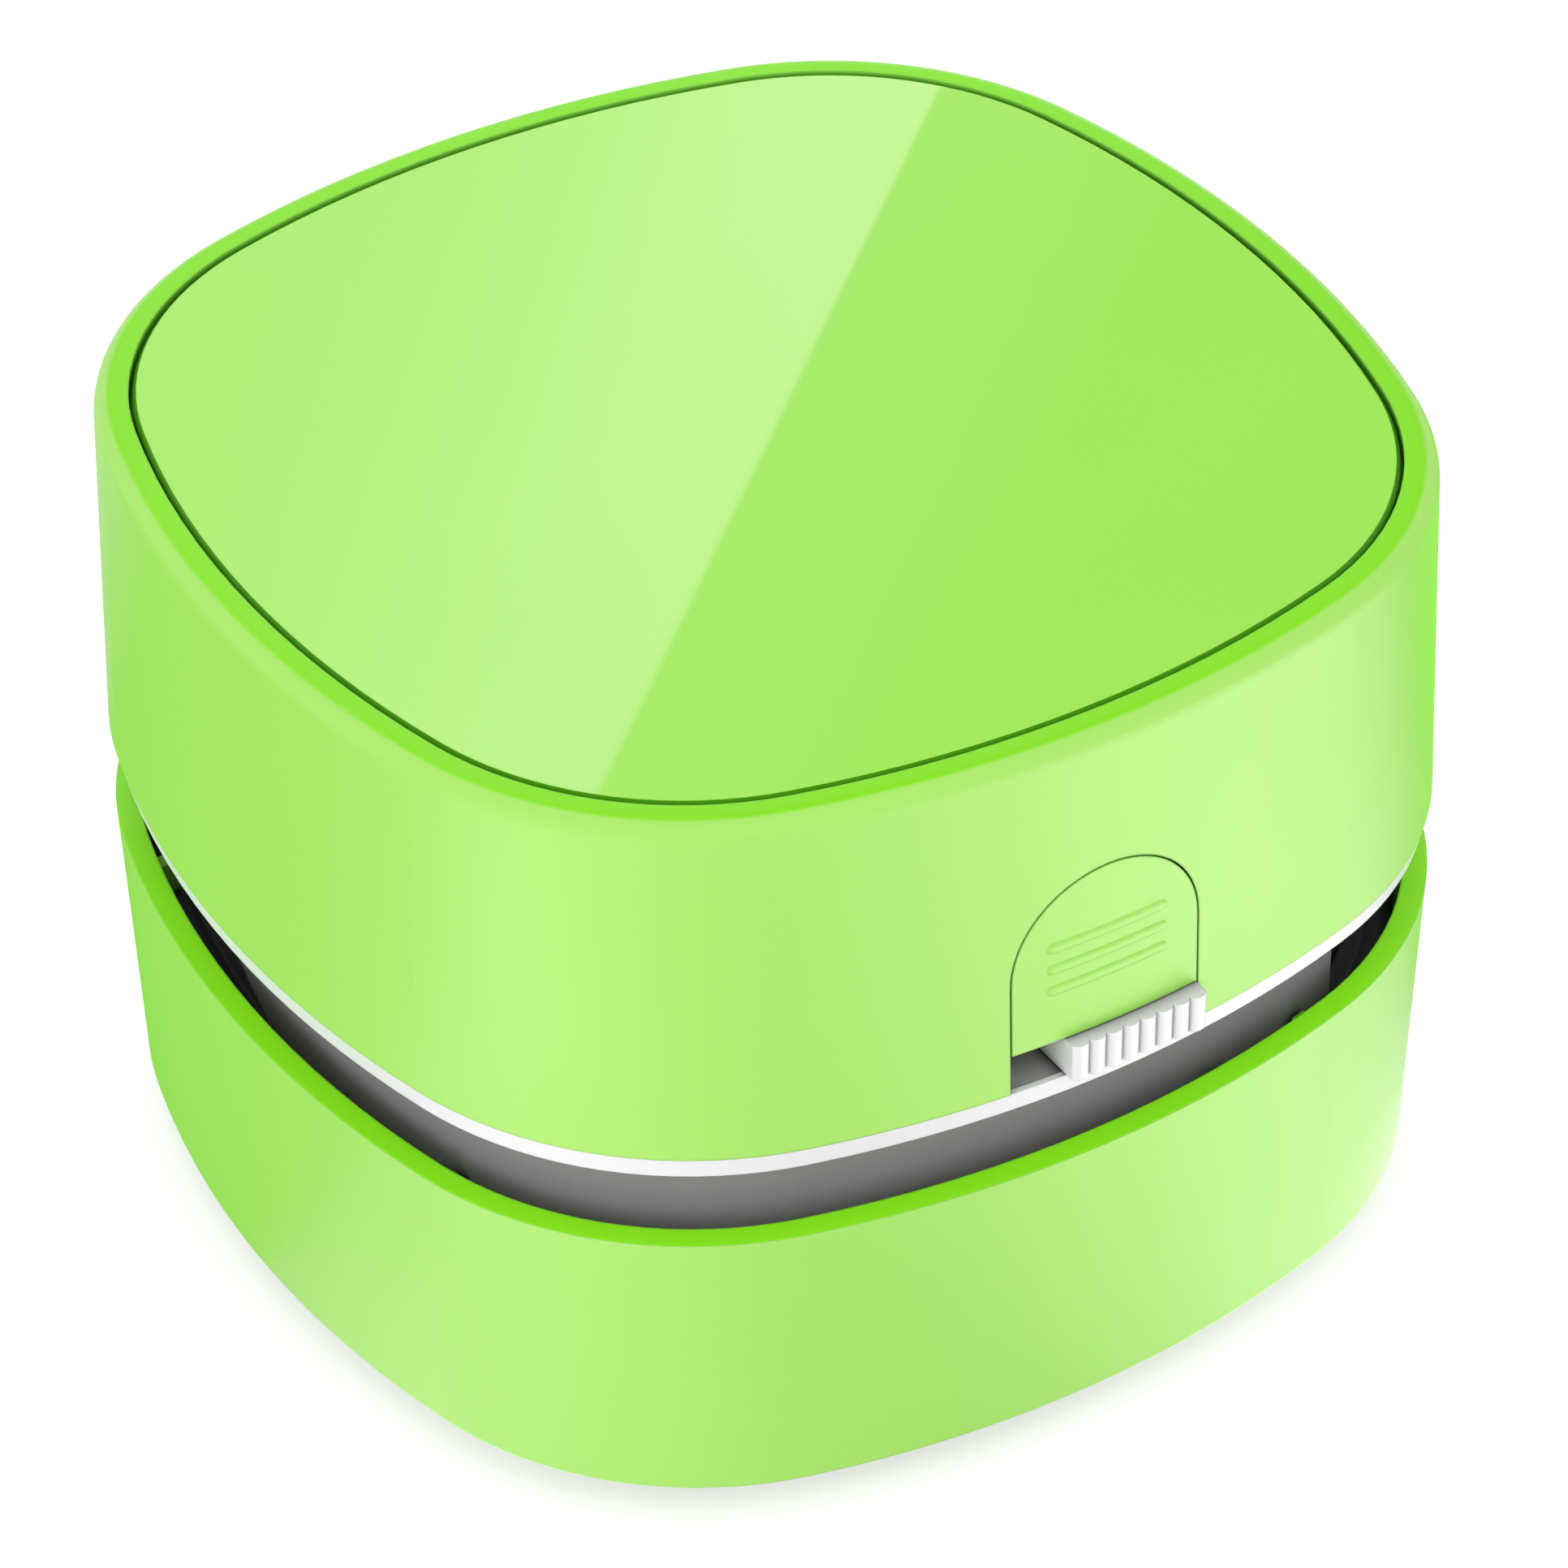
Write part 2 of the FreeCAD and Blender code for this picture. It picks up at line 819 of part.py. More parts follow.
def blade():
    # One backward-curved blade: a circular arc that meets both rims at its set angles.
    r1 = blade_inlet_radius
    r2 = impeller_radius - blade_inset
    b1 = math.radians(blade_inlet_angle)
    b2 = math.radians(blade_outlet_angle)
    rho = abs((r2**2 - r1**2) / (2 * (r2 * math.cos(b2) - r1 * math.cos(b1))))
    # The arc's centre lies square to the blade's own direction at the inlet.
    cx = r1 - rho * math.cos(b1)
    cy = rho * math.sin(b1)
    reach2 = math.hypot(cx, cy)
    turn = math.acos((r2**2 - reach2**2 - rho**2) / (2 * reach2 * rho))
    bearing = math.atan2(cy, cx)
    start = math.atan2(-cy, r1 - cx)
    end = bearing - turn
    while end - start > math.pi:
        end -= 2 * math.pi
    while start - end > math.pi:
        end += 2 * math.pi
    half = blade_thickness / 2
    outer = arc((cx, cy), rho + half, start, end, impeller_low)
    inner = arc((cx, cy), rho - half, start, end, impeller_low)
    caps = [
        Part.LineSegment(inner.valueAt(edge), outer.valueAt(far)).toShape()
        for edge, far in (
            (inner.FirstParameter, outer.FirstParameter),
            (inner.LastParameter, outer.LastParameter),
        )
    ]
    wire = Part.Wire(Part.__sortEdges__([outer, caps[1], inner, caps[0]]))
    return Part.Face(wire).extrude(Vector(0, 0, blade_height + shroud_thickness))


def impeller():
    low = impeller_low
    shroud_high = low + shroud_thickness
    plate_low = shroud_high + blade_height
    plate_high = plate_low + disc_thickness
    mouth_radius = eye_radius + mouth_margin
    disc = cylinder(0, 0, impeller_radius, plate_low, plate_high)
    shroud = ring(impeller_radius, mouth_radius, low, shroud_high)
    hub = cylinder(0, 0, hub_radius, low, plate_low)
    hub = hub.makeFillet(hub_nose, edges_at(hub, low))
    flare = Part.makeCone(
        hub_radius, hub_radius + hub_flare, hub_flare, Vector(0, 0, plate_low - hub_flare)
    )
    blades = []
    for index in range(impeller_blades):
        one = blade()
        one.rotate(Vector(0, 0, 0), Vector(0, 0, 1), 360 * index / impeller_blades)
        blades.append(one)
    # Near the eye the blades slope down to leave the mouth open.
    mouth = revolve(
        [
            (0, low),
            (mouth_radius, low),
            (mouth_radius, shroud_high),
            (blade_inlet_radius, shroud_high + mouth_slope),
            (0, shroud_high + mouth_slope),
        ]
    )
    blades = [one.cut(mouth) for one in blades]
    wheel = join(disc, shroud, hub, flare, *blades)
    return wheel.cut(cylinder(0, 0, shaft_radius, low + shaft_cap, plate_high))


def motor_shaft():
    return cylinder(0, 0, shaft_radius, impeller_low + shaft_cap, motor_low + shaft_in_can)


def motor_section(low, high, grow=0.0):
    # The can: a round with two flats.
    round_part = cylinder(0, 0, motor_breadth / 2 + grow, low, high)
    half = motor_width / 2 + grow
    flats = block(-half, half, -motor_breadth, motor_breadth, low, high)
    return round_part.common(flats)


def motor_can():
    high = motor_high - motor_cap
    can = motor_section(motor_low, high)
    can = can.makeFillet(can_edge, edges_at(can, motor_low))
    bore_high = motor_low + shaft_in_can + shaft_room
    bore = cylinder(0, 0, shaft_radius + shaft_room, motor_low, bore_high)
    vent_high = high - can_vent_drop
    vent_low = vent_high - can_vent_height
    half = can_vent_width / 2
    vents = []
    for side in (-1, 1):
        face = side * motor_width / 2
        vents.append(block(face, face - side * can_vent_depth, -half, half, vent_low, vent_high))
    return cut_each(can, [bore] + vents)


def motor_bush():
    low = motor_low - motor_boss
    ring = cylinder(0, 0, motor_boss_radius, low, motor_low)
    return ring.cut(cylinder(0, 0, shaft_radius + shaft_clearance, low, motor_low))


def motor_end_cap():
    low = motor_high - motor_cap
    cap = motor_section(low, motor_high, -cap_inset)
    cap = cap.makeFillet(cap_edge, edges_at(cap, motor_high))
    cap = join(cap, cylinder(0, 0, motor_boss_radius, motor_high, motor_high + motor_rear_boss))
    return cut_each(cap, [terminal_block(side) for side in (-1, 1)])


def terminal_block(side):
    root = side * (motor_breadth / 2 - terminal_root)
    tip = side * (motor_breadth / 2 + terminal_length)
    wide = terminal_width / 2
    low = motor_high - motor_cap / 2 - terminal_thickness / 2
    return block(-wide, wide, root, tip, low, low + terminal_thickness)


def motor_terminals():
    return Part.Compound([terminal_block(side) for side in (-1, 1)])


# ---- Deck and trim ---------------------------------------------------------------


def deck():
    edge = half_width - trim_depth - trim_fit
    plate = prism(edge, trim_low, deck_high)
    well_low = motor_low - motor_seat_floor
    well = motor_section(well_low, trim_low, motor_fit + collar_wall)
    collar = motor_section(deck_high, deck_high + collar_height, motor_fit + collar_wall)
    back = spring_back()
    bracket_high = spring_z + spring_radius + bracket_rise
    bracket = block(
        -bracket_half, bracket_half, back, back + bracket_thickness, deck_high, bracket_high
    )
    peg = Part.makeCylinder(peg_radius, peg_length, Vector(0, back, spring_z), Vector(0, -1, 0))
    plate = join(plate, well, collar, bracket, peg, slot_ledge(trim_fit, deck_high))
    room = motor_section(motor_low, deck_high + collar_height, motor_fit)
    mouth = cylinder(0, 0, motor_boss_radius + motor_boss_fit, well_low, motor_low)
    holes = [cylinder(x, y, screw_radius + screw_fit, trim_low, deck_high) for x, y in post_places()]
    front = -leg_front() - leg_clearance
    legs = [leg_space(side, front, trim_low, deck_high) for side in (-1, 1)]
    return cut_each(plate, [room, mouth] + holes + legs)


def slot_ledge(gap, high):
    # The deck's tongue that floors the knob's slot; the trim ring is notched for it.
    half = button_width / 2 - gap
    low = deck_high - ledge_depth + gap
    strip = block(-half, half, -half_width, 2 * trim_depth - half_width, low, high)
    return strip.common(prism(half_width - ledge_lip - gap, low, high))


def deck_screws():
    return Part.Compound([screw(x, y, deck_screw_low, screw_length) for x, y in post_places()])


def trim_ring():
    band = taper(half_width - trim_taper, trim_low, half_width - trim_step, casing_low)
    high = casing_low + trim_upstand
    upstand = casing_layer(wall + trim_fit, casing_low, high)
    band = join(band, upstand).cut(prism(half_width - trim_depth, trim_low, high))
    slot = button_width / 2 + trim_slot_gap
    doorway = block(-slot, slot, -half_width, 0, casing_low, high)
    return cut_each(band, [doorway, slot_ledge(0, casing_low)])


# ---- Casing and cover ----------------------------------------------------------------


def arch(half, low):
    # The button's outline: straight sides under a half round, cut through the front wall.
    spring = casing_low + button_top - button_width / 2
    face = Part.Face(
        Part.Wire(
            [
                Part.LineSegment(Vector(-half, 0, low), Vector(half, 0, low)).toShape(),
                Part.LineSegment(Vector(half, 0, low), Vector(half, 0, spring)).toShape(),
                Part.Arc(
                    Vector(half, 0, spring), Vector(0, 0, spring + half), Vector(-half, 0, spring)
                ).toShape(),
                Part.LineSegment(Vector(-half, 0, spring), Vector(-half, 0, low)).toShape(),
            ]
        )
    )
    return face.extrude(Vector(0, -half_width - wall, 0))


def upper_casing():
    body = taper(half_width, casing_low, casing_top_half, casing_high)
    body = body.makeFillet(rim_fillet, edges_at(body, casing_high))
    ledge_low = cover_low - ledge_thickness
    body = body.cut(casing_layer(wall, casing_low, ledge_low))
    body = body.cut(prism(cover_half + cover_gap, cover_low, casing_high))
    body = body.cut(prism(ledge_half, ledge_low, cover_low))
    posts = []
    shell = casing_layer(wall / 2, deck_high, casing_post_high)
    web_low = casing_low + post_web_rise
    half = web_thickness / 2
    for x, y in post_places():
        post = cylinder(x, y, post_radius, deck_high, casing_post_high)
        wall_x = math.copysign(half_width, x)
        web = block(x, wall_x, y - half, y + half, web_low, casing_post_high)
        posts += [post, web.common(shell)]
    # Two rails guide the ends of the button's yoke.
    guide_band = casing_layer(wall / 2, yoke_low, yoke_high).cut(
        casing_layer(yoke_back + guide_rib, yoke_low, yoke_high)
    )
    for side in (-1, 1):
        near = side * (yoke_half + leg_clearance)
        rail = block(near, near + side * guide_rib, -half_width, 0, yoke_low, yoke_high)
        posts.append(rail.common(guide_band))
    body = join(body, *posts)
    holes = [cylinder(x, y, screw_radius, deck_high, casing_post_high) for x, y in post_places()]
    front = block(-half_width, half_width, -half_width - wall, -neck_inner, casing_low, casing_high)
    window = arch(button_width / 2, casing_low).common(front)
    return cut_each(body, holes + [window])


def top_cover():
    panel = prism(cover_half, cover_low, cover_high)
    panel = panel.makeChamfer(cover_bevel, edges_at(panel, cover_high))
    tongue_out = ledge_half - tongue_fit
    tongue = block(
        -tongue_width / 2,
        tongue_width / 2,
        -half_width,
        -tongue_out + tongue_thickness,
        cover_low - tongue_depth,
        cover_low,
    ).common(prism(tongue_out, cover_low - tongue_depth, cover_low))
    ribs = []
    rib_half = ledge_half - cover_rib_inset
    rib_place = cell_x + foam_width / 2 + cover_rib_gap
    low = cover_low - cover_rib_height
    for place in (-rib_place, rib_place):
        start = place - cover_rib / 2
        ribs.append(block(start, start + cover_rib, -rib_half, rib_half, low, cover_low))
        ribs.append(block(-rib_half, rib_half, start, start + cover_rib, low, cover_low))
    bounds = prism(rib_half, low, cover_low)
    ribs = [rib.common(bounds) for rib in ribs]
    return join(panel, *(on_sides(tongue) + ribs))


# ---- Release button and switch -------------------------------------------------------


def spring_front():
    # The yoke's back face at the middle, where the spring bears.
    return yoke_back - casing_half(spring_z)


def spring_back():
    # The bracket stands just behind the tips of the switch's pins.
    return switch_pin_place(0).y + bracket_gap


def leg_front():
    return reach(neck_inner, leg_outer) - leg_clearance


def release_button():
    high = casing_low + button_top
    pad = arch(button_width / 2 - button_seam, slot_high)
    skin = casing_layer(0, slot_high, high).cut(casing_layer(yoke_back, slot_high, high))
    front = block(-half_width, half_width, -half_width, -neck_inner / 2, slot_high, high)
    band = casing_layer(yoke_front, yoke_low, yoke_high).cut(
        casing_layer(yoke_back, yoke_low, yoke_high)
    )
    yoke = block(-yoke_half, yoke_half, -half_width, -neck_inner / 2, yoke_low, yoke_high)
    pieces = [yoke.common(band)]
    arm_high = yoke_low + arm_thickness
    arm_start = arm_root - reach(casing_half(yoke_low) - yoke_front, leg_outer)
    leg_back = leg_thickness - leg_front()
    hook_front = latch_gap - catch_tip()
    bevel = (-hook_front - reach(neck_half, leg_inner)) * hook_bevel_share
    for side in (-1, 1):
        x0 = side * leg_inner
        x1 = side * leg_outer
        pieces.append(block(x0, x1, arm_start, leg_back, yoke_low, arm_high))
        pieces.append(block(x0, x1, -leg_front(), leg_back, hook_low, arm_high))
        hook = block(x0, x1, hook_front, -leg_front(), hook_low, hook_low + hook_height)
        lead = [edge for edge in edges_at(hook, hook_low) if edge.BoundBox.YMax < -leg_front() - bevel]
        pieces.append(hook.makeChamfer(bevel, lead))
    peg_start = Vector(0, spring_front() - peg_root, spring_z)
    pieces.append(Part.makeCylinder(peg_radius, peg_length, peg_start, Vector(0, 1, 0)))
    return join(pad.common(skin).common(front), *pieces)


def release_spring():
    length = spring_back() - spring_front() - 2 * (spring_wire + spring_fit)
    spring = coil(spring_radius, spring_wire, spring_turns, length)
    spring.rotate(Vector(0, 0, 0), Vector(1, 0, 0), -90)
    spring.translate(Vector(0, spring_front() + spring_wire + spring_fit, spring_z))
    return spring


def knob_face():
    return -(half_width + knob_proud)


def switch_knob():
    low = casing_low + knob_fit
    high = slot_high - knob_fit
    left = knob_x - knob_width / 2
    right = knob_x + knob_width / 2
    face = knob_face() + knob_rib_rise
    back = knob_face() + knob_depth
    pitch = knob_width / knob_ribs
    edges = [Part.LineSegment(Vector(left, back, low), Vector(left, face, low)).toShape()]
    for rib in range(knob_ribs):
        x0 = left + rib * pitch
        edges.append(
            Part.Arc(
                Vector(x0, face, low),
                Vector(x0 + pitch / 2, knob_face(), low),
                Vector(x0 + pitch, face, low),
            ).toShape()
        )
    edges.append(Part.LineSegment(Vector(right, face, low), Vector(right, back, low)).toShape())
    edges.append(Part.LineSegment(Vector(right, back, low), Vector(left, back, low)).toShape())
    knob = Part.Face(Part.Wire(edges)).extrude(Vector(0, 0, high - low))
    stem_back = switch_front() - knob_end_gap
    stem = block(knob_x - lever_width, knob_x + lever_width, back, stem_back, low, high)
    return join(knob, stem).cut(lever_block())


def switch_front():
    # The switch stands clear of the button's back face when the button is pressed.
    back = reach(casing_half(slot_high) - yoke_back, button_width / 2)
    return -back + button_travel + leg_clearance


def lever_block():
    middle = (casing_low + slot_high) / 2
    return block(
        knob_x - lever_width / 2,
        knob_x + lever_width / 2,
        switch_front() - lever_length,
        switch_front() + lever_root,
        middle - lever_height / 2,
        middle + lever_height / 2,
    )


def switch_lever():
    return lever_block()


def switch_case():
    front = switch_front()
    high = deck_high + switch_height
    case = block(-switch_half, switch_half, front, front + switch_depth, deck_high, high)
    middle = (casing_low + slot_high) / 2
    reach_x = knob_travel / 2 + lever_width / 2 + lever_play
    reach_z = lever_height / 2 + lever_play
    slot = block(
        -reach_x, reach_x, front, front + switch_slot_depth, middle - reach_z, middle + reach_z
    )
    return case.cut(slot)


def switch_pin_place(index):
    # The tip of a pin; the pins are numbered -1, 0 and 1.
    back = switch_front() + switch_depth + switch_pin_length
    return Vector(index * switch_pin_pitch, back, deck_high + switch_height / 2)


def switch_pins():
    pins = []
    for index in (-1, 0, 1):
        tip = switch_pin_place(index)
        left = tip.x - switch_pin / 2
        low = tip.z - switch_pin_height / 2
        root = tip.y - switch_pin_length
        pins.append(block(left, left + switch_pin, root, tip.y, low, low + switch_pin_height))
    return Part.Compound(pins)


# ---- Cells and tray -------------------------------------------------------------------


def trough(side, radius, length):
    # A U-shaped bar along Y, under one cell.
    top = tray_high
    z = cell_z
    wire = Part.Wire(
        [
            Part.Arc(
                Vector(-radius, 0, z), Vector(0, 0, z - radius), Vector(radius, 0, z)
            ).toShape(),
            Part.LineSegment(Vector(radius, 0, z), Vector(radius, 0, top)).toShape(),
            Part.LineSegment(Vector(radius, 0, top), Vector(-radius, 0, top)).toShape(),
            Part.LineSegment(Vector(-radius, 0, top), Vector(-radius, 0, z)).toShape(),
        ]
    )
    bar = Part.Face(wire).extrude(Vector(0, length, 0))
    bar.translate(Vector(side * cell_x, -length / 2, 0))
    return bar


def battery_tray():
    pieces = [trough(side, trough_outer, cell_room + 2 * tray_wall) for side in (-1, 1)]
    for x, y in post_places():
        pieces.append(cylinder(x, y, post_radius, casing_post_high, tray_low))
    tray = join(prism(ledge_half - tray_fit, tray_low, tray_high), *pieces)
    cuts = [motor_section(tray_low, tray_high, motor_fit + tray_motor_gap)]
    lead_reach = motor_breadth / 2 + terminal_length + 2 * lead_radius + lead_room
    cuts.append(block(-lead_slot / 2, lead_slot / 2, -lead_reach, lead_reach, tray_low, tray_high))
    for side in (-1, 1):
        cuts += [trough(side, trough_radius, cell_room), finger_grip(side)]
        cuts += [contact_tag(side, end) for end in (-1, 1)]
    for x, y in post_places():
        cuts.append(cylinder(x, y, screw_radius + screw_fit, casing_post_high, tray_high))
        cuts.append(cylinder(x, y, screw_head_radius + screw_head_fit, tray_seat, tray_high))
    notch_half = tongue_width / 2 + tongue_notch
    notch_back = -ledge_half + tongue_fit + tongue_thickness + tongue_notch
    notch = block(-notch_half, notch_half, -half_width, notch_back, tray_low, tray_high)
    return cut_each(tray, cuts + on_sides(notch))


def finger_grip(side):
    # A dip across one trough, where a finger gets under the cell.
    low = tray_low - grip_depth
    dip = cylinder(side * cell_x, 0, trough_outer + grip_depth, low, tray_high)
    x = side * cell_x
    strip = block(x - trough_radius, x + trough_radius, -grip_half, grip_half, low, tray_high)
    return dip.common(strip)


def tray_screws():
    top = tray_seat + screw_head
    return Part.Compound([screw(x, y, top, tray_screw_length, -1) for x, y in post_places()])


def cell(side):
    # The nub points to +Y in the right cell and to -Y in the left one.
    body = Part.makeCylinder(cell_radius, cell_length, Vector(0, 0, 0), Vector(0, 1, 0))
    body = body.makeChamfer(cell_bevel, [edge for edge in body.Edges if edge.Closed])
    nub = Part.makeCylinder(cell_nub_radius, cell_nub, Vector(0, cell_length, 0), Vector(0, 1, 0))
    body = join(body, nub)
    start = -cell_room / 2 + contact_thickness + cell_spring_room
    body.translate(Vector(0, start, 0))
    if side < 0:
        body.rotate(Vector(0, 0, 0), Vector(0, 0, 1), 180)
    body.translate(Vector(side * cell_x, 0, cell_z))
    return body


def contact_tag(side, end):
    # The solder tag that goes through the end wall of a trough.
    near = end * (cell_room / 2 - contact_thickness)
    tip = end * (cell_room / 2 + tray_wall + tag_length)
    left = side * cell_x - tag_width / 2
    low = cell_z - tag_drop - tag_thickness / 2
    return block(left, left + tag_width, near, tip, low, low + tag_thickness)


def contact_square(side, end):
    outer = end * cell_room / 2
    inner = end * (cell_room / 2 - contact_thickness)
    x = side * cell_x
    half = contact_width / 2
    return block(x - half, x + half, outer, inner, cell_z - half, cell_z + half)


def contact_plate(side):
    # The plate that the nub meets, at the nub's end of the trough.
    return join(contact_square(side, side), contact_tag(side, side))


def contact_link():
    # A strip behind the far end walls that joins the two cells in series.
    inner = cell_room / 2 + tray_wall
    half = cell_x + link_margin
    low = cell_z - tag_drop - link_height / 2
    strip = block(-half, half, inner, inner + contact_thickness, low, low + link_height)
    return cut_each(strip, [contact_tag(side, 1) for side in (-1, 1)])


def cell_spring(side):
    # A conical spring on its own plate, at the flat end of the cell.
    start = cell_room / 2 - contact_thickness - cell_spring_wire / 2
    height = cell_spring_room - 2 * cell_spring_wire
    spring = coil(
        cell_spring_radius, cell_spring_wire, cell_spring_turns, height, cell_spring_cone
    )
    spring.rotate(Vector(0, 0, 0), Vector(1, 0, 0), -90 * side)
    spring.translate(Vector(side * cell_x, -side * start, cell_z))
    return join(contact_square(side, -side), contact_tag(side, -side), spring)


def lead_front():
    # The leads hang just off the tips of the front tags.
    return -(cell_room / 2 + tray_wall + tag_length + lead_radius)


def lead_cell_to_switch():
    # From the left cell's tag down the front to the back of the switch's first pin.
    pin = switch_pin_place(-1)
    return tube_path(
        [
            Vector(-cell_x, lead_front(), cell_z - tag_drop + lead_end),
            Vector(-cell_x, lead_front(), pin.z),
            Vector(pin.x - lead_run, pin.y + lead_radius, pin.z),
            Vector(pin.x + lead_lap, pin.y + lead_radius, pin.z),
        ],
        lead_radius,
        lead_bend,
    )


def lead_switch_to_motor():
    # From the middle pin, round the spring bracket and up the front of the motor.
    pin = switch_pin_place(1)
    tip = motor_breadth / 2 + terminal_length + lead_radius
    top = motor_high - motor_cap / 2 + lead_end
    return tube_path(
        [
            Vector(pin.x, pin.y, pin.z),
            Vector(pin.x, -tip - lead_sweep, pin.z),
            Vector(0, -tip, pin.z + lead_rise),
            Vector(0, -tip, top),
        ],
        lead_radius,
        lead_tight_bend,
    )


def lead_cell_to_motor():
    # From the right cell's tag, under its trough and up the back of the motor.
    tip = motor_breadth / 2 + terminal_length + lead_radius
    low = deck_high + lead_radius
    return tube_path(
        [
            Vector(cell_x, lead_front(), cell_z - tag_drop + lead_end),
            Vector(cell_x, lead_front(), low),
            Vector(cell_x, tip, low),
            Vector(0, tip, low),
            Vector(0, tip, motor_high - motor_cap / 2 + lead_end),
        ],
        lead_radius,
        lead_bend,
    )


def cover_foam(side):
    return block(
        side * cell_x - foam_width / 2,
        side * cell_x + foam_width / 2,
        -foam_length / 2,
        foam_length / 2,
        tray_high + foam_gap,
        cover_low,
    )


# ---- Assembly ------------------------------------------------------------------------


def all_nodes():
    nodes = {
        "dust_box": dust_box(),
        "base_plate": base_plate(),
        "base_screws": base_screws(),
        "inlet_tube": inlet_tube(),
        "inlet_hood": inlet_hood(),
        "brush_ring": brush_ring(),
        "bristles": bristles(),
        "filter_frame": filter_frame(),
        "filter_mesh": filter_mesh(),
        "neck_seal": neck_seal(),
        "neck_shell": neck_shell(),
        "fan_plate": fan_plate(),
        "grille_screws": grille_screws(),
        "impeller": impeller(),
        "motor_shaft": motor_shaft(),
        "motor_can": motor_can(),
        "motor_bush": motor_bush(),
        "motor_end_cap": motor_end_cap(),
        "motor_terminals": motor_terminals(),
        "deck": deck(),
        "deck_screws": deck_screws(),
        "trim_ring": trim_ring(),
        "upper_casing": upper_casing(),
        "top_cover": top_cover(),
        "release_button": release_button(),
        "release_spring": release_spring(),
        "switch_knob": switch_knob(),
        "switch_lever": switch_lever(),
        "switch_case": switch_case(),
        "switch_pins": switch_pins(),
        "contact_link": contact_link(),
        "lead_cell_to_switch": lead_cell_to_switch(),
        "lead_switch_to_motor": lead_switch_to_motor(),
        "lead_cell_to_motor": lead_cell_to_motor(),
        "battery_tray": battery_tray(),
        "tray_screws": tray_screws(),
    }
    for name, side in (("left", -1), ("right", 1)):
        nodes["cell_" + name] = cell(side)
        nodes["contact_plate_" + name] = contact_plate(side)
        nodes["cell_spring_" + name] = cell_spring(side)
        nodes["cover_foam_" + name] = cover_foam(side)
    for index, (x, y) in enumerate(foot_places()):
        nodes["foot_pad_" + str(index + 1)] = foot_pad(x, y)
    return nodes


def main():
    os.makedirs("parts", exist_ok=True)
    for name, shape in all_nodes().items():
        shape.exportStep("parts/" + name + ".step")
        print(name, len(shape.Solids), round(shape.Volume, 1), shape.isValid())


main()
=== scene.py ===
import json
import math
import random
import bmesh
import bpy
from mathutils import Matrix, Vector, noise


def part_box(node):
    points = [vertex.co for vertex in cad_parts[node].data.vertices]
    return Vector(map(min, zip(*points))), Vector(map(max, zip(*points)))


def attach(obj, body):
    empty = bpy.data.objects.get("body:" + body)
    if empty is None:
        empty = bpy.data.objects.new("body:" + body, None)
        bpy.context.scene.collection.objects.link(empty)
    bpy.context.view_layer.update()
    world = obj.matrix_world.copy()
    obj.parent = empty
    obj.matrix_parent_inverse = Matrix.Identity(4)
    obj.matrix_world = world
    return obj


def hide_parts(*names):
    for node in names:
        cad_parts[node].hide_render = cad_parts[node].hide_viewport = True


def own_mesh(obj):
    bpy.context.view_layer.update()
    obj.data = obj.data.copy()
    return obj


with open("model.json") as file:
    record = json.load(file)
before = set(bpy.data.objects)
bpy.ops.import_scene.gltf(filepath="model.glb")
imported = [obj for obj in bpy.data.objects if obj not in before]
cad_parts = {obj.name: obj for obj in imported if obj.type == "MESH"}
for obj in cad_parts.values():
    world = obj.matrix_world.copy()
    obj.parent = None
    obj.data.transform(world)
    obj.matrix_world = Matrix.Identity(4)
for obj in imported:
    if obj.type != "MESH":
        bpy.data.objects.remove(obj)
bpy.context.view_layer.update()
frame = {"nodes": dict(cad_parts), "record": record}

mm = 0.001
nodes = frame["nodes"]
print("frame loaded:", len(nodes), "nodes")


def linear(hexCode):
    # sRGB hex to linear RGBA
    parts = [int(hexCode[i:i + 2], 16) / 255 for i in (0, 2, 4)]
    return [c / 12.92 if c <= 0.04045 else ((c + 0.055) / 1.055) ** 2.4 for c in parts] + [1.0]


def addNode(tree, kind, settings=None, links=None):
    # settings are the node's own choices or its input values
    # links join an input to another node's output
    node = tree.nodes.new("ShaderNode" + kind)
    for key, value in (settings or {}).items():
        if isinstance(key, str) and hasattr(node, key):
            setattr(node, key, value)
        else:
            node.inputs[key].default_value = value
    for key, socket in (links or {}).items():
        tree.links.new(socket, node.inputs[key])
    return node


def startMaterial(name):
    material = bpy.data.materials.new(name)
    material.use_nodes = True
    tree = material.node_tree
    tree.nodes.clear()
    return material, tree


def finishMaterial(tree, shader):
    addNode(tree, "OutputMaterial", links={"Surface": shader.outputs[0]})


def give(material, name):
    mesh = nodes[name].data
    mesh.materials.clear()
    mesh.materials.append(material)


cameraPlace = {
    "location": (-0.19107, -0.31474, 0.31617),
    "azimuth": -31.459,    # degrees, turned about +Z from looking along +Y
    "elevation": 38.030,   # degrees above the table
    "roll": -0.624,
    "lens": 153.39,        # on a 36 mm wide sensor
}


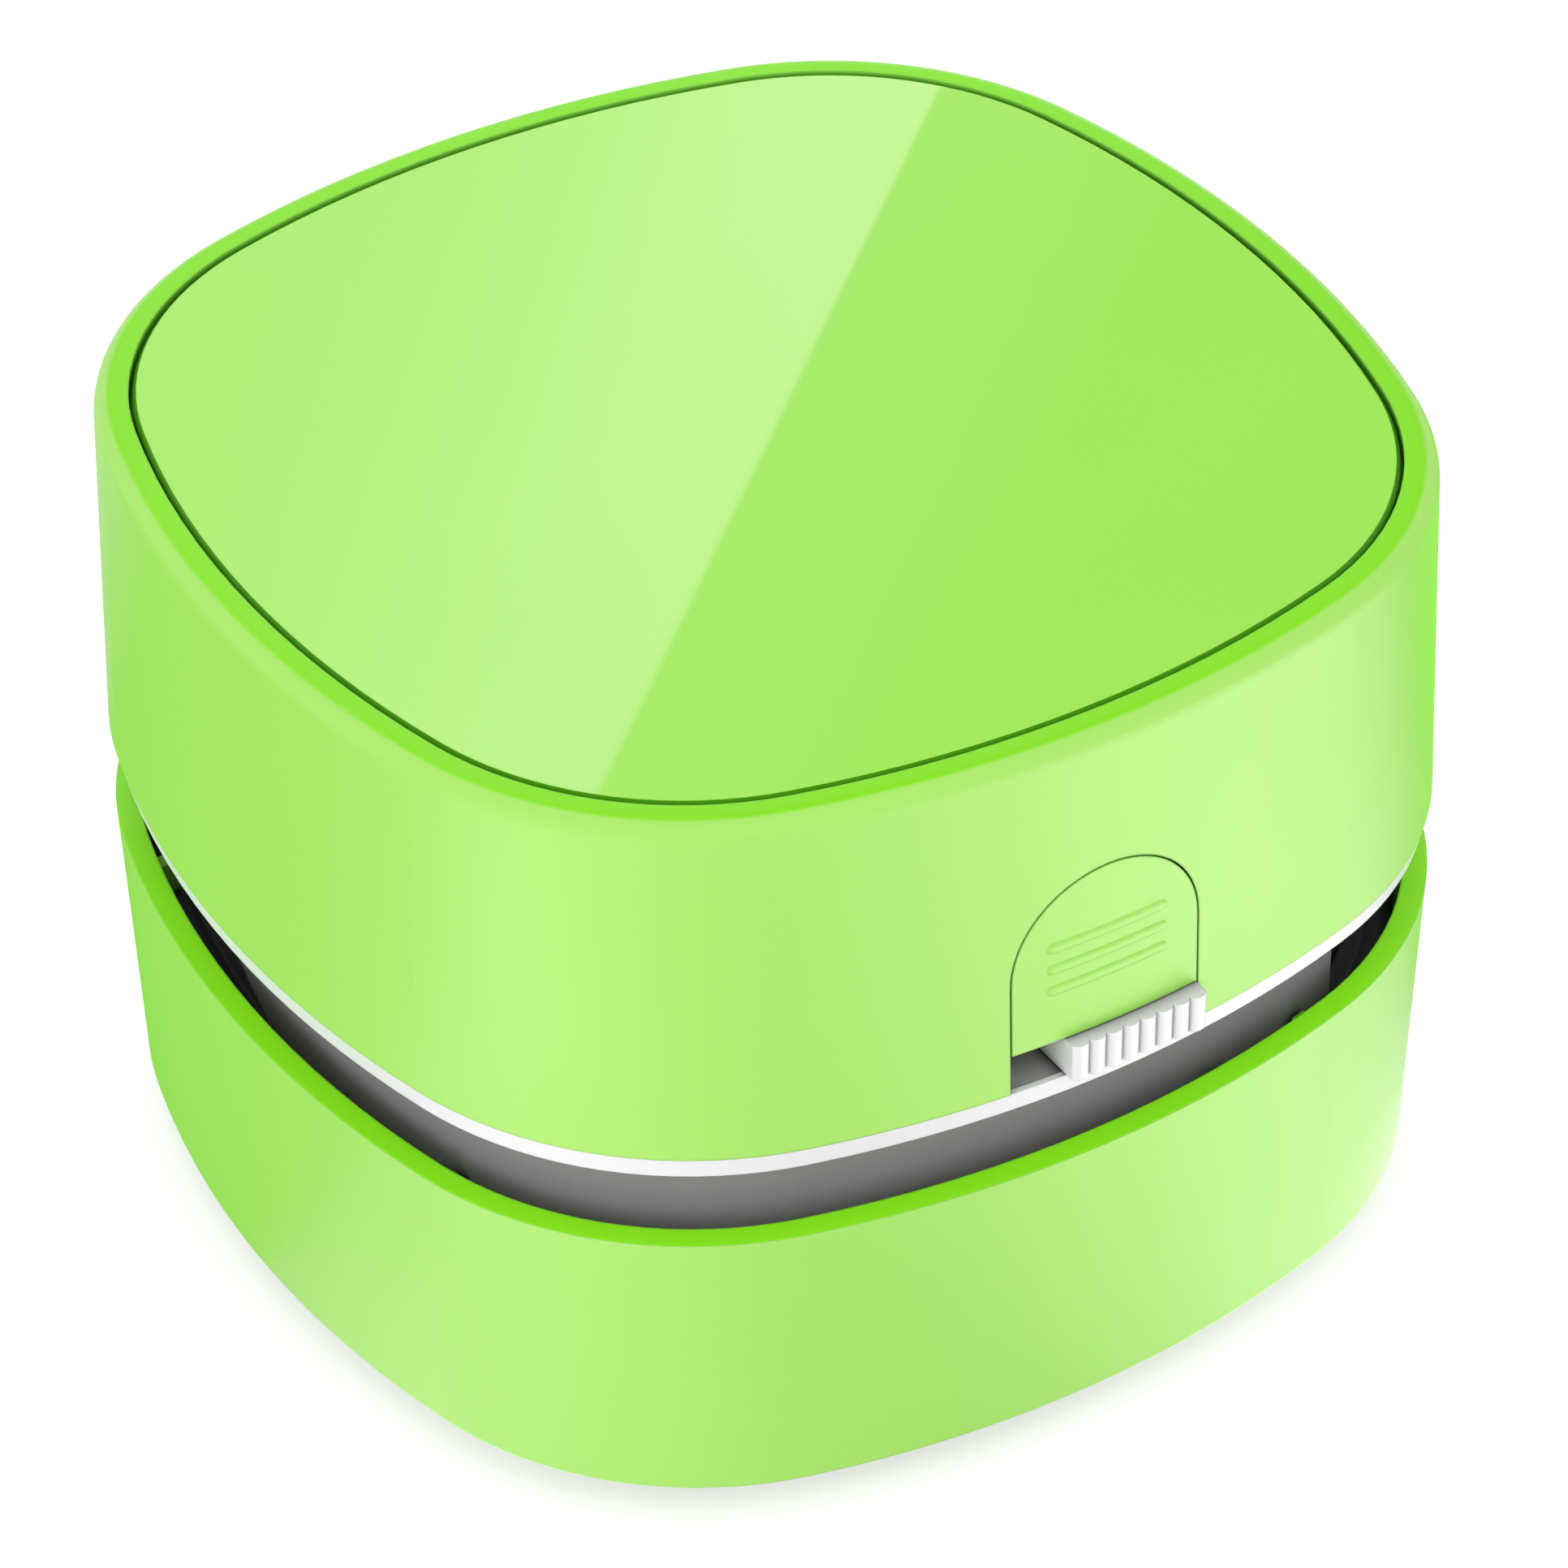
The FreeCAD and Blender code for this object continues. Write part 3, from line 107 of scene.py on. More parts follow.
def makeCamera():
    turn, lift, roll = (math.radians(cameraPlace[k]) for k in ("azimuth", "elevation", "roll"))
    flat = math.cos(lift)
    ahead = Vector((-math.sin(turn) * flat, math.cos(turn) * flat, -math.sin(lift)))
    side = Vector((math.cos(turn), math.sin(turn), 0))
    above = side.cross(ahead)
    sideRolled = side * math.cos(roll) + above * math.sin(roll)
    aboveRolled = above * math.cos(roll) - side * math.sin(roll)
    data = bpy.data.cameras.new("camera")
    data.sensor_width = 36
    data.lens = cameraPlace["lens"]
    data.clip_start = 0.01
    data.clip_end = 20
    camera = bpy.data.objects.new("camera", data)
    bpy.context.scene.collection.objects.link(camera)
    camera.matrix_world = Matrix((
        (sideRolled.x, aboveRolled.x, -ahead.x, cameraPlace["location"][0]),
        (sideRolled.y, aboveRolled.y, -ahead.y, cameraPlace["location"][1]),
        (sideRolled.z, aboveRolled.z, -ahead.z, cameraPlace["location"][2]),
        (0, 0, 0, 1),
    ))
    bpy.context.scene.camera = camera


makeCamera()
print("camera set")


# lengths in metres
studio = {
    "worldLight": 0.92,      # strength on the object; the camera sees white
    "worldGloss": 0.80,      # strength in the gloss
    "floorHex": "E6E6E6",
    "floorGlow": 0.40,       # seen by the camera only
    "floorSize": 12.0,
    "glareEdge": ((0.0324, 0.0279), (-0.0303, -0.0298)),   # two points of the cover on its edge
    "glareAway": 1.3,        # from the cover to the card
    "glareLong": 1.5,        # how far the card runs on past those points
    "fanLift": 0.0006,       # how far the fans lie above the floor
    "fanSteps": 32,
    "fanRim": 0.75,          # strength at a fan's two sides
}

# name: (watts, width and height in metres, place)
lamps = {
    "key": (8.0, (1.6, 1.6), (-0.4, -1.7, 2.0)),
    "fill left": (12.0, (1.2, 1.2), (-1.9, -0.5, 0.8)),
    "fill right": (5.0, (1.2, 1.2), (1.2, -1.6, 0.8)),
    "fill back": (9.0, (1.4, 1.4), (1.2, 2.0, 0.6)),
}

# name: (heading and spread in degrees, strength in its middle, colour, nearest and furthest in
# metres from the object's middle); the near ones show in the dust box, the far ones in the casing
fans = {
    "bounce right": (300, 94, 4.3, "FFFFFF", 0.078, 0.45),
    "bounce right near": (298, 88, 3.1, "FFFFFF", 0.030, 0.078),
    "bounce left": (205, 80, 3.3, "FFFFFF", 0.078, 0.45),
    "bounce left near": (213, 80, 2.2, "FFFFFF", 0.030, 0.078),
    "flag right": (2, 52, 1.3, "74FF24", 0.030, 0.45),
    "flag left": (146, 62, 0.8, "8CFF48", 0.030, 0.45),
}

# the glare on the cover: distance in metres from the card's edge, and the strength there
glareSteps = ((0, 2.93), (0.034, 2.80), (0.054, 2.55), (0.085, 1.95), (0.100, 1.68), (0.136, 1.34),
              (0.34, 1.3))
tailSteps = ((0, 0.75), (0.037, 0.72), (0.053, 0.50), (0.070, 0.25), (0.34, 0.10))


def makeWorld():
    world = bpy.data.worlds.new("studio white")
    bpy.context.scene.world = world
    world.use_nodes = True
    tree = world.node_tree
    tree.nodes.clear()
    path = addNode(tree, "LightPath")
    level = addNode(tree, "MapRange",
                    {"To Min": studio["worldLight"], "To Max": studio["worldGloss"]},
                    {"Value": path.outputs["Is Glossy Ray"]})
    seen = addNode(tree, "Math", {"operation": "MAXIMUM"},
                   {0: path.outputs["Is Camera Ray"], 1: path.outputs["Is Transmission Ray"]})
    strength = addNode(tree, "MapRange", {"To Max": 1.0},
                       {"Value": seen.outputs[0], "To Min": level.outputs[0]})
    back = addNode(tree, "Background", {"Color": (1, 1, 1, 1)}, {"Strength": strength.outputs[0]})
    addNode(tree, "OutputWorld", links={"Surface": back.outputs[0]})


def makeFloor():
    bpy.ops.mesh.primitive_circle_add(vertices=96, radius=studio["floorSize"] / 2, fill_type="NGON")
    floor = bpy.context.object
    floor.name = "floor"
    material, tree = startMaterial("matt paper sweep")
    path = addNode(tree, "LightPath")
    glow = addNode(tree, "Math", {"operation": "MULTIPLY", 1: studio["floorGlow"]},
                   {0: path.outputs["Is Camera Ray"]})
    paper = addNode(tree, "BsdfDiffuse", {"Color": linear(studio["floorHex"])})
    light = addNode(tree, "Emission", {"Color": (1, 1, 1, 1)}, {"Strength": glow.outputs[0]})
    both = addNode(tree, "AddShader", links={0: paper.outputs[0], 1: light.outputs[0]})
    finishMaterial(tree, both)
    floor.data.materials.append(material)


def areaLight(name, power, size, place):
    data = bpy.data.lights.new(name, "AREA")
    data.shape = "RECTANGLE"
    data.size, data.size_y = size
    data.energy = power
    light = bpy.data.objects.new(name, data)
    bpy.context.scene.collection.objects.link(light)
    light.location = place
    light.rotation_euler = (-Vector(place)).to_track_quat("-Z", "Y").to_euler()
    light.visible_camera = False
    light.visible_glossy = False


def glossCard(name, rows, levels, hexCode="FFFFFF"):
    # a reflector that only gloss sees; rows are pairs of points with a strength for each row
    corners = [point for row in rows for point in row]
    faces = [(2 * i, 2 * i + 1, 2 * i + 3, 2 * i + 2) for i in range(len(rows) - 1)]
    mesh = bpy.data.meshes.new(name)
    mesh.from_pydata(corners, [], faces)
    glows = mesh.attributes.new("glow", "FLOAT", "POINT")
    for i in range(len(corners)):
        glows.data[i].value = levels[i // 2]
    card = bpy.data.objects.new(name, mesh)
    bpy.context.scene.collection.objects.link(card)
    material, tree = startMaterial(name)
    level = addNode(tree, "Attribute", {"attribute_name": "glow"})
    glow = addNode(tree, "Emission", {"Color": linear(hexCode)}, {"Strength": level.outputs["Fac"]})
    finishMaterial(tree, glow)
    mesh.materials.append(material)
    for kind in ("camera", "diffuse", "shadow", "transmission"):
        setattr(card, "visible_" + kind, False)


def floorFan(name, heading, spread, strength, hexCode, near, far):
    rows, levels = [], []
    steps, rim = studio["fanSteps"], studio["fanRim"]
    lift = Vector((0, 0, studio["fanLift"]))
    for i in range(steps + 1):
        angle = math.radians(heading + spread * (i / steps - 0.5))
        ray = Vector((math.cos(angle), math.sin(angle), 0))
        rows.append((ray * near + lift, ray * far + lift))
        levels.append(rim + (strength - rim) * math.sin(math.pi * i / steps) ** 2)
    glossCard(name, rows, levels, hexCode)


def glareCard():
    # the card's edge is where lines from the mirrored eye through the two points meet its plane
    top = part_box("top_cover")[1].z
    eye = Vector(cameraPlace["location"])
    eye.z = 2 * top - eye.z
    middle = Vector((0, 0, top))
    ahead = (middle - eye).normalized()
    plane = middle + ahead * studio["glareAway"]
    ends = []
    for x, y in studio["glareEdge"]:
        ray = Vector((x, y, top)) - eye
        ends.append(eye + ray * ((plane - eye).dot(ahead) / ray.dot(ahead)))
    along = (ends[0] - ends[1]).normalized()
    left = along.cross(ahead)
    if left.dot(Vector((-1, 1, 0))) < 0:
        left = -left
    far, near = ends[0] + along * studio["glareLong"], ends[1] - along * studio["glareLong"]
    for name, steps, side in (("glare card", glareSteps, left), ("glare tail", tailSteps, -left)):
        rows = [(near + side * away, far + side * away) for away, _ in steps]
        glossCard(name, rows, [strength for _, strength in steps])


makeWorld()
makeFloor()
for name, (power, size, place) in lamps.items():
    areaLight(name, power, size, place)
for name, settings in fans.items():
    floorFan(name, *settings)
glareCard()
print("studio set")


# sizes in mm
# patch: width of the soft unevenness; mottle: how far that darkens
# grain: width of the mould's texture, drawn about twice its real width so that it shows
# depth: the texture's height; edge: radius of the softened edges; wearAndHighlight: how far those
# lighten, partly as wear and partly as a painted highlight
# paintedShadeHex: the colour painted into corners as shade; tint: how much red, green and blue the
# highlights keep
plastics = {
    # ABS moulded with a satin finish: broad soft highlights
    "case_green": {"name": "ABS moulded satin green", "hex": "9FDB5E", "rough": 0.36, "ior": 1.46,
                   "patch": 18, "mottle": 0.03, "grain": 0.30, "depth": 0.0035, "edge": 0.25,
                   "wearAndHighlight": 0.25, "paintedShadeHex": "4FB000", "tint": (1.0, 0.6, 1.0, 1)},
    # ABS moulded against a polished mould: clean and a little brighter
    "trim_white": {"name": "ABS moulded white", "hex": "E3E2E4", "rough": 0.30, "ior": 1.5,
                   "patch": 12, "mottle": 0.02, "grain": 0.25, "depth": 0.0025, "edge": 0.12,
                   "wearAndHighlight": 0.2, "paintedShadeHex": "5A585D"},
    # ABS moulded grey: reads nearly neutral in the shade of the waist
    "frame_dark": {"name": "ABS moulded mid grey", "hex": "8E898F", "rough": 0.34, "ior": 1.5,
                   "patch": 10, "mottle": 0.08, "grain": 0.30, "depth": 0.004, "edge": 0.15,
                   "wearAndHighlight": 0.2, "paintedShadeHex": "1C1A1E", "tint": (0.4, 0.4, 0.4, 1)},
    # ABS moulded with coarse spark texture: dull, and greyer along its edges, partly where hands
    # and tools rub it and partly as a painted highlight
    "frame_black": {"name": "ABS moulded charcoal", "hex": "26272A", "rough": 0.46, "ior": 1.5,
                    "patch": 12, "mottle": 0.12, "grain": 0.36, "depth": 0.009, "edge": 0.18,
                    "wearAndHighlight": 0.35},
    # polypropylene moulded: waxy, slightly cloudy
    "base_grey": {"name": "polypropylene moulded pale grey", "hex": "D4D6D3", "rough": 0.42,
                  "ior": 1.49, "patch": 14, "mottle": 0.06, "grain": 0.40, "depth": 0.008,
                  "edge": 0.2, "wearAndHighlight": 0.3},
    # polycarbonate moulded, frosted: a cool milky grey
    "inlet_clear": {"name": "polycarbonate moulded frosted", "hex": "C3C9C8", "rough": 0.28,
                    "ior": 1.58, "patch": 9, "mottle": 0.05, "grain": 0.30, "depth": 0.005,
                    "edge": 0.15, "wearAndHighlight": 0.3},
    # nylon moulded: matt and creamy
    "motor_nylon": {"name": "nylon moulded natural", "hex": "ECE8DC", "rough": 0.50, "ior": 1.53,
                    "patch": 7, "mottle": 0.08, "grain": 0.30, "depth": 0.006, "edge": 0.15,
                    "wearAndHighlight": 0.2},
    # silicone rubber moulded: matt, holds dust in its pores
    "seal_rubber": {"name": "silicone rubber moulded", "hex": "3B3C3F", "rough": 0.72,
                    "ior": 1.43, "patch": 6, "mottle": 0.2, "grain": 0.22, "depth": 0.012,
                    "edge": 0.3, "wearAndHighlight": 0.25},
    # PVC extruded over wire: even and slightly glossy
    "lead_red": {"name": "PVC extruded red", "hex": "B9281F", "rough": 0.38, "ior": 1.53,
                 "patch": 5, "mottle": 0.08, "grain": 0.20, "depth": 0.004, "edge": 0.1,
                 "wearAndHighlight": 0.1},
    "lead_black": {"name": "PVC extruded black", "hex": "1D1E20", "rough": 0.38, "ior": 1.53,
                   "patch": 5, "mottle": 0.08, "grain": 0.20, "depth": 0.004, "edge": 0.1,
                   "wearAndHighlight": 0.1},
    # PVC shrink sleeve: smooth, with the slight pull of heating
    "cell_jacket": {"name": "PVC shrink sleeve slate", "hex": "3A4A5C", "rough": 0.24,
                    "ior": 1.53, "patch": 8, "mottle": 0.1, "grain": 0.60, "depth": 0.010,
                    "edge": 0.2, "wearAndHighlight": 0.15},
    # polyurethane foam: matt, open pores
    "foam": {"name": "polyurethane foam charcoal", "hex": "37383B", "rough": 0.95, "ior": 1.5,
             "patch": 4, "mottle": 0.35, "grain": 0.45, "depth": 0.09, "edge": 0.3, "wearAndHighlight": 0.0},
    # nylon thread, woven: pale, with a faint sheen along each thread
    "filter_cloth": {"name": "nylon thread woven white", "hex": "DADCD8", "rough": 0.45,
                     "ior": 1.53, "patch": 5, "mottle": 0.15, "grain": 0.20, "depth": 0.010,
                     "edge": 0.05, "wearAndHighlight": 0.0},
    # nylon filament: dark with a bright line along each hair
    "bristle": {"name": "nylon filament black", "hex": "232427", "rough": 0.35, "ior": 1.53,
                "patch": 3, "mottle": 0.2, "grain": 0.15, "depth": 0.004, "edge": 0.03,
                "wearAndHighlight": 0.0},
}

# painted light and shade: faces that look up turn these colours; on the green parts a more
# saturated green stands in for light that runs out through the plastic along a moulded rim, and on
# the knob a grey stands in for the shade on its top
paintedTopHex = {"upper_casing": "7ED80C", "dust_box": "8FF41A", "release_button": "7ED80C",
          "switch_knob": "DAD3E0"}
deckHex = "A6A1A8"

# shared by the surfaces; each From is a pair: where the effect starts and where it is full
surface = {
    "paintedShadeWide": 1.6,            # mm, how far the painted shade reaches into a corner
    "paintedShadeFrom": (0.85, 0.30),   # openness of the corner
    "paintedShadeFull": 0.85,
    "paintedTopFrom": (0.90, 0.99),    # how far up a face looks
    "rimTint": (0.3, 0.3, 0.3, 1),
    "wearAndHighlightFrom": (0.995, 0.86),   # turn of the softened edge
    "wearAndHighlightLift": (0.20, 0.20, 0.20, 1),
    "patchFrom": (0.35, 0.75),  # part of the noise
    "patchTimes": (0.55, 0.55, 0.55, 1),
    "glossFrom": (0.3, 0.7),    # part of the noise
    "glossTimes": (0.9, 1.1),   # the roughness at those two ends over its middle value
    "stain": 5,                 # mm, on metal
    "stainFrom": (0.4, 0.8),
    "stainFull": 0.5,
    "stainTimes": (0.72, 0.72, 0.74, 1),
    "metalEdge": 0.08,          # mm
    "samples": 4,
    "paintedShadeSamples": 8,
}

# streak: width in mm of the lines that the tool leaves; run: their length over their width
# spread: how far the roughness changes from line to line
metals = {
    # zinc-plated steel, cold headed: bright, slightly blue
    "screw_steel": {"name": "steel zinc plated", "hex": "BFC2C6", "rough": 0.30, "streak": 0.16,
                    "run": 1.0, "depth": 0.004, "spread": 0.14},
    # steel sheet deep drawn: long soft draw lines
    "motor_steel": {"name": "steel sheet deep drawn", "hex": "C2C4C6", "rough": 0.34,
                    "streak": 0.20, "run": 26.0, "depth": 0.003, "spread": 0.16},
    # brass turned: warm, fine lathe lines
    "brass": {"name": "brass turned", "hex": "CDA75C", "rough": 0.28, "streak": 0.12, "run": 6.0,
              "depth": 0.003, "spread": 0.12},
    # nickel-plated spring steel: clean and cool
    "contact_steel": {"name": "spring steel nickel plated", "hex": "CBCDCF", "rough": 0.22,
                      "streak": 0.14, "run": 12.0, "depth": 0.002, "spread": 0.10},
}


def paintedShadeColour(tree, colour, hexCode):
    # painted shade: where the occlusion finds a corner closed in, the colour turns deeper, standing
    # in for the shade and the light bounced off the same plastic there
    clear = addNode(tree, "AmbientOcclusion",
                    {"samples": surface["paintedShadeSamples"], "Distance": surface["paintedShadeWide"] * mm})
    start, full = surface["paintedShadeFrom"]
    deep = addNode(tree, "MapRange",
                   {"From Min": start, "From Max": full, "To Max": surface["paintedShadeFull"]},
                   {"Value": clear.outputs["AO"]})
    return addNode(tree, "MixRGB", {"Color2": linear(hexCode)},
                   {"Fac": deep.outputs[0], "Color1": colour.outputs[0]})


def plasticSurface(values, paintedTopColour=None):
    material, tree = startMaterial(values["name"])
    place = addNode(tree, "TexCoord")
    at = place.outputs["Object"]
    patches = addNode(tree, "TexNoise", {"Scale": 1 / (values["patch"] * mm), "Detail": 3.0},
                      {"Vector": at})
    grain = addNode(tree, "TexNoise", {"Scale": 1 / (values["grain"] * mm), "Detail": 2.0},
                    {"Vector": at})
    colour = addNode(tree, "MixRGB", {"Fac": 0.0, "Color1": linear(values["hex"])})
    # painted light and shade: faces that look up take the colour given for them
    if paintedTopColour:
        looks = addNode(tree, "SeparateXYZ", links={0: place.outputs["Normal"]})
        start, full = surface["paintedTopFrom"]
        up = addNode(tree, "MapRange",
                     {"interpolation_type": "SMOOTHSTEP", "From Min": start, "From Max": full},
                     {"Value": looks.outputs["Z"]})
        tree.links.new(up.outputs[0], colour.inputs["Fac"])
        colour.inputs["Color2"].default_value = linear(paintedTopColour)
    # painted shade: the colour deepens in corners
    if "paintedShadeHex" in values:
        colour = paintedShadeColour(tree, colour, values["paintedShadeHex"])
    start, full = surface["patchFrom"]
    shade = addNode(tree, "MapRange",
                    {"From Min": start, "From Max": full, "To Max": values["mottle"]},
                    {"Value": patches.outputs["Fac"]})
    dark = addNode(tree, "MixRGB", {"blend_type": "MULTIPLY", "Color2": surface["patchTimes"]},
                   {"Color1": colour.outputs[0], "Fac": shade.outputs[0]})
    soft = addNode(tree, "Bevel", {"samples": surface["samples"], "Radius": values["edge"] * mm})
    face = addNode(tree, "NewGeometry")
    turn = addNode(tree, "VectorMath", {"operation": "DOT_PRODUCT"},
                   {0: soft.outputs[0], 1: face.outputs["Normal"]})
    # the softened edges lighten: partly wear, partly a painted highlight
    start, full = surface["wearAndHighlightFrom"]
    wearAndHighlightMask = addNode(tree, "MapRange",
                     {"From Min": start, "From Max": full, "To Max": values["wearAndHighlight"]},
                     {"Value": turn.outputs["Value"]})
    wornAndHighlit = addNode(tree, "MixRGB", {"blend_type": "SCREEN", "Color2": surface["wearAndHighlightLift"]},
                   {"Color1": dark.outputs[0], "Fac": wearAndHighlightMask.outputs[0]})
    start, full = surface["glossFrom"]
    least, most = (values["rough"] * share for share in surface["glossTimes"])
    gloss = addNode(tree, "MapRange",
                    {"From Min": start, "From Max": full, "To Min": least, "To Max": most},
                    {"Value": patches.outputs["Fac"]})
    bump = addNode(tree, "Bump", {"Strength": 1.0, "Distance": values["depth"] * mm},
                   {"Height": grain.outputs["Fac"], "Normal": soft.outputs[0]})
    tint = values.get("tint", (1, 1, 1, 1))
    shader = addNode(tree, "BsdfPrincipled", {"IOR": values["ior"], "Specular Tint": tint},
                     {"Base Color": wornAndHighlit.outputs[0], "Roughness": gloss.outputs[0],
                      "Normal": bump.outputs[0]})
    if paintedTopColour:
        dull = addNode(tree, "MixRGB", {"Color1": tint, "Color2": surface["rimTint"]},
                       {"Fac": up.outputs[0]})
        tree.links.new(dull.outputs[0], shader.inputs["Specular Tint"])
    finishMaterial(tree, shader)
    return material


def metalSurface(values):
    material, tree = startMaterial(values["name"])
    place = addNode(tree, "TexCoord")
    fine = 1 / (values["streak"] * mm)
    lines = addNode(tree, "Mapping", {"Scale": (fine, fine, fine / values["run"])},
                    {"Vector": place.outputs["Object"]})
    streaks = addNode(tree, "TexNoise", {"Scale": 1.0, "Detail": 3.0}, {"Vector": lines.outputs[0]})
    stains = addNode(tree, "TexNoise", {"Scale": 1 / (surface["stain"] * mm), "Detail": 3.0},
                     {"Vector": place.outputs["Object"]})
    start, full = surface["stainFrom"]
    shade = addNode(tree, "MapRange",
                    {"From Min": start, "From Max": full, "To Max": surface["stainFull"]},
                    {"Value": stains.outputs["Fac"]})
    colour = addNode(tree, "MixRGB", {"blend_type": "MULTIPLY", "Color1": linear(values["hex"]),
                                      "Color2": surface["stainTimes"]}, {"Fac": shade.outputs[0]})
    start, full = surface["glossFrom"]
    least, most = (values["rough"] + values["spread"] / 2 * sign for sign in (-1, 1))
    gloss = addNode(tree, "MapRange",
                    {"From Min": start, "From Max": full, "To Min": least, "To Max": most},
                    {"Value": streaks.outputs["Fac"]})
    soft = addNode(tree, "Bevel",
                   {"samples": surface["samples"], "Radius": surface["metalEdge"] * mm})
    bump = addNode(tree, "Bump", {"Strength": 1.0, "Distance": values["depth"] * mm},
                   {"Height": streaks.outputs["Fac"], "Normal": soft.outputs[0]})
    shader = addNode(tree, "BsdfPrincipled", {"Metallic": 1.0},
                     {"Base Color": colour.outputs[0], "Roughness": gloss.outputs[0],
                      "Normal": bump.outputs[0]})
    finishMaterial(tree, shader)
    return material


coverPlate = {
    "hex": "9AE154",
    "rough": 0.012,                # polished after moulding, so the glare has a crisp edge
    "ior": 1.49,
    "tint": (1.0, 0.3, 1.0, 1),    # the glare keeps some of the plate's hue
    "patch": 20,                   # mm
    "mottle": 0.02,
    "patchTimes": (0.6, 0.6, 0.6, 1),
    # painted shade: the colour deepens in the groove round the plate
    "paintedShadeHex": "357008",
    "sideShadeHex": "458F10",           # painted shade: its sides take the colour they have in the shade of the groove
    "sideTint": (0.02, 0.12, 0.0, 1),
    "sideFrom": (0.95, 0.80),      # how far up a face looks where that starts and is full
    "edge": 0.15,                  # mm
    "scratchWide": 0.06,           # mm, hairlines from wiping
    "scratchDeep": 0.0002,         # mm
    "scratchRun": 60,              # their length over their width
    "scratchTurn": 0.6,            # radians
}


def coverSurface(values):
    # acrylic moulded and polished: a mirror-like sheen over an even colour
    material, tree = startMaterial("acrylic polished green")
    place = addNode(tree, "TexCoord")
    at = place.outputs["Object"]
    patches = addNode(tree, "TexNoise", {"Scale": 1 / (values["patch"] * mm), "Detail": 2.0},
                      {"Vector": at})
    start, full = surface["patchFrom"]
    shade = addNode(tree, "MapRange",
                    {"From Min": start, "From Max": full, "To Max": values["mottle"]},
                    {"Value": patches.outputs["Fac"]})
    colour = addNode(tree, "MixRGB", {"blend_type": "MULTIPLY", "Color1": linear(values["hex"]),
                                      "Color2": values["patchTimes"]}, {"Fac": shade.outputs[0]})
    # painted shade: faces that turn to the side take a darker colour
    looks = addNode(tree, "SeparateXYZ", links={0: place.outputs["Normal"]})
    start, full = values["sideFrom"]
    side = addNode(tree, "MapRange", {"From Min": start, "From Max": full},
                   {"Value": looks.outputs["Z"]})
    colour = addNode(tree, "MixRGB", {"Color2": linear(values["sideShadeHex"])},
                     {"Fac": side.outputs[0], "Color1": colour.outputs[0]})
    sheen = addNode(tree, "MixRGB", {"Color1": values["tint"], "Color2": values["sideTint"]},
                    {"Fac": side.outputs[0]})
    # painted shade: the colour deepens in the groove round the plate
    colour = paintedShadeColour(tree, colour, values["paintedShadeHex"])
    fine = 1 / (values["scratchWide"] * mm)
    lines = addNode(tree, "Mapping",
                    {"Rotation": (0, 0, values["scratchTurn"]),
                     "Scale": (fine, fine / values["scratchRun"], fine)}, {"Vector": at})
    hairs = addNode(tree, "TexNoise", {"Scale": 1.0, "Detail": 1.0}, {"Vector": lines.outputs[0]})
    soft = addNode(tree, "Bevel", {"samples": surface["samples"], "Radius": values["edge"] * mm})
    bump = addNode(tree, "Bump", {"Strength": 1.0, "Distance": values["scratchDeep"] * mm},
                   {"Height": hairs.outputs["Fac"], "Normal": soft.outputs[0]})
    shader = addNode(tree, "BsdfPrincipled", {"Roughness": values["rough"], "IOR": values["ior"]},
                     {"Base Color": colour.outputs[0], "Normal": bump.outputs[0],
                      "Specular Tint": sheen.outputs[0]})
    finishMaterial(tree, shader)
    return material


slotOf = {part["node"]: part["material_slot"] for part in frame["record"]["subparts"]}
finishes = {slot: plasticSurface(values) for slot, values in plastics.items()}
finishes.update({slot: metalSurface(values) for slot, values in metals.items()})
finishes["cover_gloss"] = coverSurface(coverPlate)
for nodeName, slotName in slotOf.items():
    give(finishes[slotName], nodeName)
for nodeName, paintedTopColour in paintedTopHex.items():
    give(plasticSurface(plastics[slotOf[nodeName]], paintedTopColour), nodeName)
finishes["deck"] = plasticSurface({**plastics["frame_dark"], "name": "ABS moulded light grey",
                                   "hex": deckHex})
give(finishes["deck"], "deck")
print("materials set:", len(finishes))


# the shells' outline in mm: four bulged sides and four round corners, with the steps for each
shellOutline = {"half": 42.5, "side": 80.0, "corner": 26.4, "steps": 40}


def loopPoints(half):
    steps = shellOutline["steps"]
    inset = shellOutline["half"] - half
    side, corner = shellOutline["side"] - inset, shellOutline["corner"] - inset
    back = shellOutline["half"] - shellOutline["side"]
    apart = shellOutline["side"] - shellOutline["corner"]
    middle = (back + math.sqrt(2 * apart ** 2 - back ** 2)) / 2
    bend = math.atan2(middle, middle - back)
    points = []
    for quarter in range(4):
        turn = Matrix.Rotation(quarter * math.pi / 2, 3, "Z")
        for i in range(steps):
            angle = bend * (2 * i / steps - 1)
            points.append(turn @ Vector((back + side * math.cos(angle), side * math.sin(angle), 0)))
        for i in range(steps):
            angle = bend + (math.pi / 2 - 2 * bend) * i / steps
            points.append(turn @ Vector((middle + corner * math.cos(angle),
                                         middle + corner * math.sin(angle), 0)))
    return points


def joined(shapes):
    points, faces = [], []
    for morePoints, moreFaces in shapes:
        faces += [tuple(len(points) + i for i in face) for face in moreFaces]
        points += morePoints
    return points, faces


